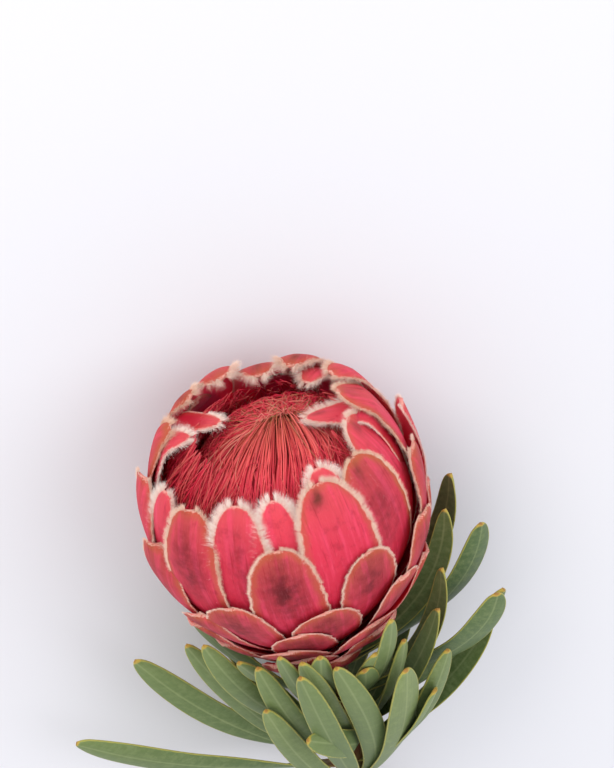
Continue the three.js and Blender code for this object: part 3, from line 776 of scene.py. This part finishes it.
def bract_points(b, u, v, face):
    """Points of a bract's outer face (0) or inner face (1), from root to tip and edge to edge."""
    along = lerp(b["root_along"], b["reach"], u)
    phase = b["phase"]
    ripple = (np.sin(tau * (COARSE_RIPPLES * u + phase))
              + FINE_RIPPLE * np.sin(tau * (FINE_RIPPLES * u + 2 * phase)))
    ragged = 1 + RAGGED * ripple * np.abs(v) ** 3 * ease(0.3, 0.6, u)
    side = b["width"] / 2 * blade_width(u, BRACT_SHAPE) * v * ragged
    free = np.clip((u - BRACT_FREE_FROM) / (1 - BRACT_FREE_FROM), 0, 1)
    depth = (TIER_GAP * b["order"] + LEVEL_STEP * (b["level"] - surface_level(along))
             + EDGE_DROP * v**2 - b["lean"] * free**2)
    shown = ease(*UNCOVERED, surface_level(along) - b["level"])
    depth = depth - BULGE * shown * (1 - v**2) * (1 - BULGE_LOST_AT_TIP * u**4)
    outside = ease(*INNER_TO_OUTER_LEVEL, b["level"])
    tuck = np.minimum(1, TUCK_AT_SIDES * v**4 + TUCK_AT_TIP * ease(0.8, 1.0, u))
    depth = depth + TUCK * outside * shown * tuck
    roll = ROLL - SIDE_ROLL * outside * shown * sin(radians(b["turn"]))
    depth = depth + roll * v * ease(0.1, 0.6, u)
    depth = depth + WAVE * shown * v**2 * np.sin(tau * (WAVES * u + 0.5 * v + phase))
    middle_thickness = BRACT_THICKNESS + BULGE_SOLID * BULGE * shown * (1 - v**2)
    thickness = lerp(middle_thickness, RIM_THICKNESS, np.abs(v) ** 5)
    radius, height = under_outline(along, depth, b["curl"])
    bend = np.degrees(side / np.maximum(radius, TIGHTEST_BEND))
    if face:
        radius, height = under_outline(along, depth + thickness, b["curl"])
    across = sin(radians(b["turn"]))
    aside = copysign(ease(*SKEWED_SIDE, abs(across)), across)
    skew = SKEW * outside * aside * (free - SKEW_FROM) * ease(0.2, 0.5, u)
    points = around(b["turn"] + bend + skew, radius, height)
    points[..., 0] *= breadth(points[..., 2])
    return points


def bract_length(b):
    u = np.linspace(0, 1, 40)
    radius, height = under_outline(lerp(b["root_along"], b["reach"], u), 0, b["curl"])
    return np.hypot(np.diff(radius), np.diff(height)).sum()


def add_bract(pieces, b):
    u, v = blade_grid(b["rows"], BRACT_COLUMNS, 1.7)
    length = bract_length(b)
    half = b["width"] / 2 * blade_width(u, BRACT_SHAPE)
    none, full = np.zeros_like(u), np.ones_like(u)
    # The part of a hooked bract below its tip is painted dark crimson, as shade, and has no fringe.
    bare = ease(b["bare"] + 0.03, b["bare"] - 0.03, u) if b["bare"] else none
    from_burn = ((1 - u) * length - BURN_FROM_TIP) / BURN_LENGTH
    burn = b["burn"] * np.exp(-from_burn**2 - ((v - b["burn_at"]) / BURN_WIDTH) ** 2)
    add_blade(
        pieces, [bract_points(b, u, v, face) for face in (0, 1)], u, v, half, length,
        BRACT_NOISE_STEP * b["number"], (b["dusk"], b["heart"], b["rim"]),
        marks=np.stack([np.stack([burn, none, bare], -1), np.stack([burn, full, none], -1)]),
    )


def make_bracts(tier_name, material):
    pieces = Pieces()
    for b in TIERS[tier_name]:
        add_bract(pieces, b)
    node = f"{tier_name}_bracts"
    finish_piece(pieces, f"{tier_name}_bract_blades", material, node)


# Fringe of hairs along a bract's edge

# Hairs for each millimetre of edge. Bracts that stand straight beyond UNSEEN_FROM have fewer
HAIR_DENSITY = {"outer": 20, "middle": 28, "inner_near": 60, "inner_far": 46}
UNSEEN_FROM = 115
UNSEEN_SHARE = 0.25
HAIR_RADIUS = 0.038
HAIR_STRETCH = 1.25
HAIR_LEAN = 0.16
HAIR_FORWARD = 0.2
SHORTEST_HAIR = 0.35
FULL_LENGTH_FROM = 0.86
ROOTS_INWARD = 0.42
ROOT_DEPTH = 0.1
TUFT_COUNT = 7
TUFT_SPREAD = 0.3
TUFT_LEAN = 0.18
EDGE_STEPS = 160
EDGE_STEP = 0.008


def fringe_roots(b, u, side, inward):
    """Points on both faces at a distance inward from the edge, in millimetres."""
    u = np.minimum(u, 1 - 0.6 * inward / bract_length(b))
    half = b["width"] / 2 * blade_width(u, BRACT_SHAPE)
    v = side * np.clip(1 - inward / np.maximum(half, 0.5), 0, 1)
    return bract_points(b, u, v, 0), bract_points(b, u, v, 1)


def add_fringe(pieces, b, density, draw):
    first = max(b["sides"], b["bare"])
    steps = np.linspace(first, 1, EDGE_STEPS)
    if abs(b["turn"]) > UNSEEN_FROM and not b["curl"]:
        density = density * UNSEEN_SHARE
    for side in (-1.0, 1.0):
        line = bract_points(b, steps, np.full_like(steps, side), 0)
        walked = np.concatenate([[0], np.cumsum(np.linalg.norm(np.diff(line, axis=0), axis=1))])
        tufts = np.sort(draw.random(max(1, int(walked[-1] * density / TUFT_COUNT)))) * walked[-1]
        place = np.repeat(tufts, TUFT_COUNT) + draw.normal(0, TUFT_SPREAD, TUFT_COUNT * len(tufts))
        place = np.clip(place, 0, walked[-1])
        u = np.interp(place, walked, steps)
        v = np.full_like(u, side)
        behind = np.minimum(u, 1 - EDGE_STEP)
        forward = unit(bract_points(b, behind + EDGE_STEP, v, 0) - bract_points(b, behind, v, 0))
        strength = ease(first, lerp(first, 1, FULL_LENGTH_FROM), u)
        inward = draw.random(len(u)) ** 1.3 * ROOTS_INWARD * b["fringe"] * strength
        root, under = fringe_roots(b, u, side, inward)
        normal = unit(root - under)
        out = np.cross(forward, normal)
        middle = bract_points(b, u * 0.97, 0 * v, 0)
        out = out * np.sign(np.einsum("ij,ij->i", out, root - middle))[:, None]
        length = HAIR_STRETCH * b["fringe"] * lerp(SHORTEST_HAIR, 1, strength)
        length = length * draw.uniform(0.5, 1.05, len(u))
        lean = np.repeat(draw.normal(0, TUFT_LEAN, (len(tufts), 3)), TUFT_COUNT, axis=0)
        lift = draw.uniform(0.0, 0.5, len(u))[:, None]
        stray = draw.normal(0, HAIR_LEAN, (len(u), 3))
        heading = unit(out + HAIR_FORWARD * forward + lift * normal + lean + stray)
        root = root - ROOT_DEPTH * normal
        tip = root + heading * length[:, None]
        points, faces, along = hair_mesh(root, tip, HAIR_RADIUS * draw.uniform(0.7, 1.3, len(u)))
        tone = np.repeat(0.9 * b["rim"] + 0.3 * draw.random(len(u)), len(along) // len(u))
        pieces.add(points, faces, along=along, tone=tone)


def make_fringe(name, tier_name, chosen, density, material, seed):
    """The fringe of the chosen bracts of a tier, given as a slice."""
    pieces = Pieces()
    draw = np.random.default_rng(seed)
    for b in TIERS[tier_name][chosen]:
        add_fringe(pieces, b, HAIR_DENSITY[density], draw)
    finish_piece(pieces, name, material, smooth=False)


# Mass of styles

def spline(points, t):
    """A smooth curve through points, by share of their number."""
    points = np.asarray(points, float)
    place = np.clip(t, 0, 1) * (len(points) - 1)
    i = np.minimum(place.astype(int), len(points) - 2)
    f = (place - i)[..., None]
    before, after = points[np.maximum(i - 1, 0)], points[np.minimum(i + 2, len(points) - 1)]
    a, b = points[i], points[i + 1]
    return 0.5 * (2 * a + (b - before) * f + (2 * before - 5 * a + 4 * b - after) * f**2
                  + (3 * a - before - 3 * b + after) * f**3)


DOME_TOP = spline(STYLE_DOME, np.linspace(1, 0.45, 60))


def dome_points(turn, share, lift):
    """Points on the dome of styles: share runs from its foot to its top.

    On the top the lines first run side by side and close in late, as combed strands do.
    """
    ring = spline(STYLE_DOME, share)
    top = ease(0.5, 0.85, share)
    angle = np.radians(turn)
    closing = ease(0.88, 1.0, share)
    spread = lerp(1, np.clip(ring[..., 0] / DOME_WIDEST, 0.05, 1) ** -COMBED, top)
    reach = ring[..., 0] + lift * (1 - top)
    across = reach * lerp(1, 0.6, closing) * spread * np.sin(angle)
    ahead = -reach * lerp(1, 0.1, closing) * np.cos(angle)
    level = np.interp(np.hypot(across, ahead), DOME_TOP[:, 0], DOME_TOP[:, 1])
    height = lerp(ring[..., 1] + 0.35 * lift, level + lift, top)
    shift = ease(0.6, 1.0, share)
    return np.stack([across + STYLE_APEX[0] * shift, ahead + STYLE_APEX[1] * shift, height], -1)


def spread_over(points, values):
    """Values for each strand and step, one for each point of their tubes."""
    return np.broadcast_to(values[:, :, None], points.shape[:3]).reshape(-1)


def make_strands(material):
    """Two layers of strands in small bundles, combed over the dome towards its top."""
    draw = np.random.default_rng(41)
    bundle = np.arange(STRANDS) // STRANDS_IN_BUNDLE
    layer = np.arange(STRANDS) % STRAND_LAYERS
    bundles = bundle[-1] + 1
    turn = 360 / bundles * bundle + draw.normal(0, 0.5, bundles)[bundle]
    turn = turn + draw.uniform(-1.2, 1.2, STRANDS)
    lift = draw.uniform(-0.3, 0.3, bundles)[bundle] + draw.normal(0, 0.15, STRANDS) - LAYER_DEPTH * layer
    start = draw.uniform(*STRAND_FOOT, (STRANDS, 1))
    end = 1 - STRAND_ENDS_SHORT * draw.random((STRANDS, 1)) ** 1.5
    t = np.linspace(0, 1, STRAND_STEPS)[None, :]
    share = lerp(start, end, t)
    sway = draw.normal(0, 1.0, (STRANDS, 1)) * np.sin(pi * (1.5 * t + draw.random((STRANDS, 1))))
    twist = draw.normal(0, STRAND_TWIST, (STRANDS, 1)) * t**5
    wobble = 0.25 * np.sin(9 * t + 2.4 * turn[:, None])
    path = dome_points(turn[:, None] + sway + twist, share, lift[:, None] + wobble)
    path[..., 2] += ease(0.9, 1.0, share) * draw.uniform(*STRAND_FLICK, (STRANDS, 1))
    radius = STRAND_RADIUS * draw.uniform(0.75, 1.2, (STRANDS, 1)) * lerp(1, 0.5, ease(0.8, 1, share))
    points, quads, tris = tube_mesh(path, radius)
    # Tones are random, lowered for the under layer so that it shows as painted shade between the top
    # strands.
    tone = np.clip(draw.random(STRANDS) - 0.35 * layer, 0, 1)
    pieces = Pieces()
    pieces.add(
        points, quads, tris,
        along=spread_over(points, share),
        tone=spread_over(points, tone[:, None]),
        seed=spread_over(points, draw.random((STRANDS, 1))),
    )
    finish_piece(pieces, "style_strands", material, "style_mass")


def make_core(material):
    """The deep red depths between the strands, painted as shade, with a cap at the foot and one at the
    top.
    """
    size = (CORE_RINGS, CORE_TURNS)
    share = np.broadcast_to(np.linspace(0, 1, CORE_RINGS)[:, None], size)
    turn = 360 * np.arange(CORE_TURNS)[None, :] / CORE_TURNS
    points = dome_points(turn, share, np.full(size, -CORE_DEPTH))
    pieces = Pieces()
    pieces.add(points, ring_faces(*size)[:, [0, 3, 2, 1]], along=share.reshape(-1))
    foot, top = points[0].mean(0), points[-1].mean(0)
    caps = np.concatenate([points[0], [foot], points[-1], [top]])
    rim = np.arange(CORE_TURNS)
    after = np.roll(rim, -1)
    middle = np.full(CORE_TURNS, CORE_TURNS)
    low = np.stack([rim, middle, after], -1)
    high = np.stack([after, middle, rim], -1) + CORE_TURNS + 1
    pieces.add(caps, low, high, along=np.repeat([0.0, 1.0], CORE_TURNS + 1))
    finish_piece(pieces, "style_core", material)


def crown_curls(draw):
    """Curly filaments over the far side of the top, behind the place where the strands meet."""
    count = CURL_COUNT
    t = np.linspace(0, 1, FILAMENT_STEPS)[None, :]
    turn = 180 + draw.normal(0, CURL_TURN_SPREAD, (count, 1))
    begin = draw.uniform(0.7, 1.0, (count, 1))
    share = np.minimum(begin + draw.uniform(-0.26, 0.1, (count, 1)) * t, 1.0)
    swing = draw.normal(0, 20, (count, 1)) * t**1.3
    path = dome_points(turn + swing, share, 0 * share)
    arch = draw.uniform(*CURL_ARCH, (count, 1)) * np.sin(pi * t * draw.uniform(0.5, 1.1, (count, 1)))
    phase = draw.uniform(0, 6, (count, 1))
    curl = draw.uniform(0.1, 0.6, (count, 1))
    path[..., 0] += curl * np.sin(5 * t + phase)
    path[..., 1] += curl * np.cos(5 * t + phase)
    path[..., 2] += 0.4 + arch
    radius = CURL_THICKNESS * draw.uniform(0.7, 1.3, (count, 1)) * lerp(1, 0.6, t)
    tone = np.clip(draw.uniform(0.2, 0.75, count) + 0.3 * ease(0.85, 1.0, begin[:, 0]), 0, 1)
    return path, radius, tone


def gap_filaments(draw):
    """Long curved filaments in the gap between the strands and the bracts."""
    count = GAP_COUNT
    t = np.linspace(0, 1, FILAMENT_STEPS)[None, :]
    turn = np.where(draw.random((count, 1)) < GAP_LEFT_SHARE, draw.uniform(*GAP_LEFT, (count, 1)),
                    draw.uniform(-180, 180, (count, 1)))
    low = draw.uniform(*GAP_FEET, (count, 1))
    high = draw.uniform(*GAP_TOPS, (count, 1))
    gap = draw.uniform(*GAP_BULGE, (count, 1))
    height = lerp(low, high, t)
    wall = np.interp(height, GAP_HEIGHTS, GAP_RADII)
    place = wall + gap * np.sin(pi * t) + draw.normal(0, 0.5, (count, 1)) * np.sin(3 * pi * t)
    path = around(turn + draw.normal(0, 14, (count, 1)) * t**2, place, height)
    radius = GAP_THICKNESS * draw.uniform(0.7, 1.3, (count, 1)) * lerp(1, 0.6, t)
    return path, radius, draw.uniform(0.25, 0.8, count)


def make_filaments(material):
    draw = np.random.default_rng(43)
    pieces = Pieces()
    for path, radius, tone in (crown_curls(draw), gap_filaments(draw)):
        points, quads, tris = tube_mesh(path, np.broadcast_to(radius, path.shape[:2]))
        pieces.add(points, quads, tris, tone=spread_over(points, tone[:, None]))
    finish_piece(pieces, "crown_filaments", material)


# Leaves and stem

def leaf(turn, radius, height, root, width, twist=0.0, root_turn=None, bow=LEAF_BOW, painted_shade=0.0):
    """A leaf's tip, root, width, twist and bow, as its solid has them, and its share of painted shade."""
    return {"turn": turn, "radius": radius, "height": height, "root": root, "width": width,
            "root_turn": turn if root_turn is None else root_turn, "twist": twist, "bow": bow,
            "painted_shade": painted_shade}


# Leaves that lie under the head and behind other leaves are given a share of painted shade.
LEAVES = [
    leaf(-75, 42, 22, -52, 9, 65),
    leaf(-54, 43, 33, -36, 8.5, 55, bow=0.66),
    leaf(-94, 38, 22, -27, 8.5, 60),
    leaf(-88, 58, 13, -52, 11, 80, painted_shade=0.1),
    leaf(-90, 84, -17, -56, 12, 75, painted_shade=0.15),
    leaf(-43, 38, 25, -16, 7, 30),
    leaf(-31, 40, 27, -52, 8.5, 30),
    leaf(-35, 38, 6, -64, 9, 30),
    leaf(-18, 43, 35, -26, 7),
    leaf(-10, 42, 31, -42, 8.5, root_turn=10),
    leaf(-11, 46, 29, -60, 9.5, root_turn=0),
    leaf(-2, 43, 33, -22, 8, root_turn=-20),
    leaf(-18, 38, -6, -42, 9.5, 70, root_turn=60),
    leaf(3, 43, 27, -62, 9.5, root_turn=60),
    leaf(23, 38, 21, -16, 9),
    leaf(17, 36, 15, -24, 11, root_turn=30),
    leaf(31, 44, 14, -62, 13, root_turn=50),
    leaf(28, 46, 38, -26, 8, root_turn=40),
    leaf(40, 38, 18, -40, 9, root_turn=50),
    leaf(50, 40, -9, -54, 12),
    leaf(84, 47, 44, -11, 8, 60, bow=0.85, painted_shade=0.6),
    leaf(70, 44, 30, -26, 8, 50, bow=0.85, painted_shade=0.5),
    leaf(98, 52, 47, -8, 10, 20, bow=0.85, painted_shade=1.0),
    leaf(86, 57, 34, -13, 12, -60, bow=0.85, painted_shade=1.0),
    leaf(81, 60, 10, -38, 10, -60, painted_shade=0.5),
    leaf(72, 59, 17, -22, 12, -60, bow=0.85, painted_shade=0.8),
    leaf(80, 55, 0, -50, 9, 40, painted_shade=0.5),
    leaf(60, 43, 20, -40, 8, 55, painted_shade=0.3),
    leaf(58, 44, 4, -58, 9, -40, painted_shade=0.3),
    *[leaf(turn, radius, height, root, 9, painted_shade=0.3) for turn, radius, height, root in (
        (112, 38, 8, -44), (132, 37, 16, -30), (150, 28, 6, -52), (172, 26, 8, -38),
        (-162, 23, 2, -58), (-142, 36, 12, -34), (-118, 38, 6, -48),
    )],
]


def leaf_frame(spec, u):
    """Middle line, direction across and direction outwards of a leaf at shares u of its length."""
    ends = [
        around(spec["root_turn"], STEM_RADIUS * LEAF_ROOT_DEPTH, spec["root"]),
        around((spec["turn"] + spec["root_turn"]) / 2, spec["radius"] * spec["bow"] + LEAF_STAND_OFF,
               spec["root"] + LEAF_RISE * (spec["height"] - spec["root"])),
        around(spec["turn"], spec["radius"], spec["height"]),
    ]
    t = u[:, None]
    centre = (1 - t) ** 2 * ends[0] + 2 * (1 - t) * t * ends[1] + t**2 * ends[2]
    forward = unit(2 * (1 - t) * (ends[1] - ends[0]) + 2 * t * (ends[2] - ends[1]))
    sideways = around(spec["turn"] + 90, 1, 0)
    across = unit(sideways - forward * (forward @ sideways)[:, None])
    angle = np.radians(spec["twist"]) * np.sin(pi / 2 * np.minimum(t / LEAF_TWISTED_AT, 1))
    across = across * np.cos(angle) + np.cross(forward, across) * np.sin(angle)
    return centre, across, unit(np.cross(across, forward))


def add_leaf(pieces, spec, number, draw):
    u, v = blade_grid(LEAF_ROWS, LEAF_COLUMNS, 1.5)
    centre, across, outward = leaf_frame(spec, u[:, 0])
    half = spec["width"] / 2 * blade_width(u, LEAF_SHAPE)
    length = np.linalg.norm(np.diff(centre, axis=0), axis=1).sum()
    wave = LEAF_WAVE * np.sin(tau * (2 * u + draw.random())) * v**2 * np.sin(pi * u)
    channel = -LEAF_CHANNEL * v**2 * np.minimum(1, half / LEAF_NARROW)
    middle = centre[:, None] + across[:, None] * (half * v)[..., None]
    middle = middle + outward[:, None] * (channel + wave)[..., None]
    thick = lerp(LEAF_THICKNESS * 1.15, LEAF_EDGE_THICKNESS, np.abs(v) ** 3)
    thick = thick * lerp(1, 1.4, ease(0.93, 1, u)) * lerp(1.4, 1, ease(0, 0.15, u))
    rib = MIDRIB * np.exp(-((v * half) / MIDRIB_WIDTH) ** 2) * ease(1, 0.7, u)
    shifts = (0.5 * thick + 0.4 * rib, -0.5 * thick - rib)
    add_blade(
        pieces, [middle + outward[:, None] * shift[..., None] for shift in shifts], u, v, half, length,
        LEAF_NOISE_STEP * number, (spec["painted_shade"], draw.random(), length * (1 - u)),
    )


def make_leaves(material):
    pieces = Pieces()
    draw = np.random.default_rng(61)
    for number, spec in enumerate(LEAVES):
        add_leaf(pieces, spec, number, draw)
    finish_piece(pieces, "leaves", material, "leafy_stem")


STEM_LINE = [(0, 0, STEM_TOP), (0.6, -0.5, STEM_TOP - 0.35 * STEM_LENGTH),
             (-0.4, 0.2, STEM_TOP - 0.7 * STEM_LENGTH), (0.4, 0, STEM_TOP - 1.05 * STEM_LENGTH)]

# Marks on the stem where a leaf grows or has grown: a swelling, and a scar
LEAF_MARK = {"swelling": 0.75, "width": 2.4, "length": 2.6, "drop": 2.0, "scar": (2.2, 1.2)}
OLD_MARK = {"swelling": 0.5, "width": 1.9, "length": 1.3, "drop": 0.0, "scar": (1.3, 0.7)}
OLD_MARKS = 16
OLD_MARKS_TOP = -72
OLD_MARKS_FROM_CUT = 6


def marks_on_stem(turn, height):
    """How far the bark swells and how scarred it is, at each turn and height."""
    draw = np.random.default_rng(71)
    marks = [(spec["root_turn"], spec["root"], LEAF_MARK) for spec in LEAVES]
    lowest = OLD_MARKS_FROM_CUT - STEM_LENGTH
    for _ in range(OLD_MARKS):
        marks.append((draw.uniform(-180, 180), draw.uniform(lowest, OLD_MARKS_TOP), OLD_MARK))
    swelling = np.zeros((STEM_ROWS, STEM_TURNS))
    scar = np.zeros((STEM_ROWS, STEM_TURNS))
    for where, level, mark in marks:
        away = (turn[None, :] - where + 180) % 360 - 180
        side = np.radians(away) * STEM_RADIUS
        up = height - level
        swelling += mark["swelling"] * np.exp(
            -(side / mark["width"]) ** 2 - ((up + mark["drop"]) / mark["length"]) ** 2)
        scar += np.exp(-(side / mark["scar"][0]) ** 2 - (up / mark["scar"][1]) ** 2)
    return swelling, np.clip(scar, 0, 1)


def add_cut_face(pieces, rim):
    """The stem's cut end, a little hollow, in rings from its rim to its middle."""
    rings = np.linspace(1, 0, CUT_RINGS)[:, None]
    middle = rim.mean(0)
    disc = middle + (rim - middle) * rings[..., None]
    disc[..., 2] -= CUT_HOLLOW * np.sin(pi * rings)
    blade = np.stack([disc[..., 0], disc[..., 1], np.ones(disc.shape[:2])], -1)
    pith = np.broadcast_to(rings, disc.shape[:2]).reshape(-1)
    pieces.add(disc, ring_faces(CUT_RINGS, STEM_TURNS), blade=blade, scar=0.0, pith=pith)


def make_stem(material):
    """The stem, from the flare under the head to its slanted cut."""
    line = spline(STEM_LINE, np.linspace(0, 1, STEM_ROWS))
    turn = 360 * np.arange(STEM_TURNS) / STEM_TURNS
    height = line[:, 2][:, None]
    swelling, scar = marks_on_stem(turn, height)
    flare = STEM_FLARE * np.exp(-np.maximum(0, STEM_TOP - height) / STEM_FLARE_LENGTH)
    ripple = 0.16 * np.sin(np.radians(turn) * 9 + 0.05 * height)
    ripple = ripple + 0.1 * np.sin(np.radians(turn) * 14 - 0.09 * height)
    points = around(turn[None, :], STEM_RADIUS - STEM_BARK_DEPTH + flare + ripple + swelling, height)
    points[..., :2] += line[:, None, :2]
    slant = tan(radians(CUT_SLANT))
    floor = STEM_TOP - STEM_LENGTH + STEM_RADIUS * slant - points[..., 1] * slant
    points[..., 2] = np.maximum(points[..., 2], floor)
    blade = np.stack(np.broadcast_arrays(np.radians(turn)[None, :] * STEM_RADIUS, height, 0.0), -1)
    pieces = Pieces()
    pieces.add(points, ring_faces(STEM_ROWS, STEM_TURNS), blade=blade, scar=scar.reshape(-1), pith=1.0)
    add_cut_face(pieces, points[-1])
    finish_piece(pieces, "stem", material, "leafy_stem")


# The flower

velvet = bract_material()
for tier_name in TIERS:
    make_bracts(tier_name, velvet)
fringe = fringe_material()
make_fringe("outer_fringe", "outer", slice(None), "outer", fringe, 81)
make_fringe("middle_fringe", "middle", slice(None), "middle", fringe, 82)
make_fringe("inner_fringe_front", "inner", slice(0, 7), "inner_near", fringe, 83)
make_fringe("inner_fringe_side", "inner", slice(7, 13), "inner_near", fringe, 84)
make_fringe("inner_fringe_back", "inner", slice(13, None), "inner_far", fringe, 85)
make_strands(style_material())
make_core(core_material())
make_filaments(filament_material())
make_leaves(leaf_material())
make_stem(stem_material())


# Floor, light and camera

IMAGE_WIDTH = 614
IMAGE_HEIGHT = 768
SENSOR_HEIGHT = 24.0
CAMERA_ELEVATION = 41.0
CAMERA_ROLL = 14.5
CAMERA_DISTANCE = 900.0
PIXELS_PER_MM = 3.24
AIM = (0.0, 0.0, 40.0)
AIM_PIXEL = (297, 547)
FLOOR_COLOUR = "dcdce0"
FLOOR_HALF_SIZE = 3.0

# A light's place is in metres from the aim: towards the camera, to its right and up
KEY_LIGHT = {"place": (0.95, -0.5, 0.35), "size": 0.7, "power": 4.6, "tint": "fffaf4"}
FILL_LIGHT = {"place": (0.9, 0.8, -0.1), "size": 1.0, "power": 4.2, "tint": "f8f8ff"}
SKY_COLOUR = "f4f5f8"
SKY_STRENGTH = 1.08


def make_camera():
    """The camera. Gives back its aim and the directions towards it, to its right and up."""
    elevation, roll = radians(CAMERA_ELEVATION), radians(CAMERA_ROLL)
    toward = Vector(lain_over((0, -cos(elevation), sin(elevation))))
    right = Vector(lain_over((1, 0, 0)))
    up = Vector(lain_over((0, sin(elevation), cos(elevation))))
    image_right = right * cos(roll) - up * sin(roll)
    image_up = right * sin(roll) + up * cos(roll)
    aim = Vector(lain_over(AIM)) * MM + Vector(HEAD_BASE) * MM
    place = aim + toward * CAMERA_DISTANCE * MM
    off_right = (IMAGE_WIDTH / 2 - AIM_PIXEL[0]) / PIXELS_PER_MM * MM
    off_up = (AIM_PIXEL[1] - IMAGE_HEIGHT / 2) / PIXELS_PER_MM * MM
    target = aim + image_right * off_right + image_up * off_up
    back = (place - target).normalized()
    side = image_up.cross(back).normalized()
    above = back.cross(side)
    data = bpy.data.cameras.new("camera")
    data.sensor_fit = "VERTICAL"
    data.sensor_height = SENSOR_HEIGHT
    data.lens = PIXELS_PER_MM * CAMERA_DISTANCE / IMAGE_HEIGHT * SENSOR_HEIGHT
    camera = new_object("camera", data)
    camera.matrix_world = Matrix.Translation(place) @ Matrix((side, above, back)).transposed().to_4x4()
    bpy.context.scene.camera = camera
    return aim, toward, image_right, image_up


def make_floor():
    half = FLOOR_HALF_SIZE
    corners = [(-half, -half, 0), (half, -half, 0), (half, half, 0), (-half, half, 0)]
    mesh = bpy.data.meshes.new("floor")
    mesh.from_pydata(corners, [], [(0, 1, 2, 3)])
    mesh.materials.append(Shader("pale_floor", Roughness=0.9, Specular_IOR_Level=0.1).finish(FLOOR_COLOUR))
    new_object("floor", mesh)


def make_light(name, light, aim, toward, right, up):
    data = bpy.data.lights.new(name, "AREA")
    data.shape = "DISK"
    data.size = light["size"]
    data.energy = light["power"]
    data.color = colour(light["tint"])[:3]
    ahead, across, above = light["place"]
    lamp = new_object(name, data)
    lamp.location = aim + toward * ahead + right * across + up * above
    lamp.rotation_euler = (lamp.location - aim).to_track_quat("Z", "Y").to_euler()


def make_world():
    world = bpy.data.worlds.new("studio")
    world.use_nodes = True
    background = world.node_tree.nodes["Background"]
    background.inputs["Color"].default_value = colour(SKY_COLOUR)
    background.inputs["Strength"].default_value = SKY_STRENGTH
    bpy.context.scene.world = world


make_floor()
view = make_camera()
make_light("key", KEY_LIGHT, *view)
make_light("fill", FILL_LIGHT, *view)
make_world()
bpy.context.scene.view_settings.view_transform = "Standard"
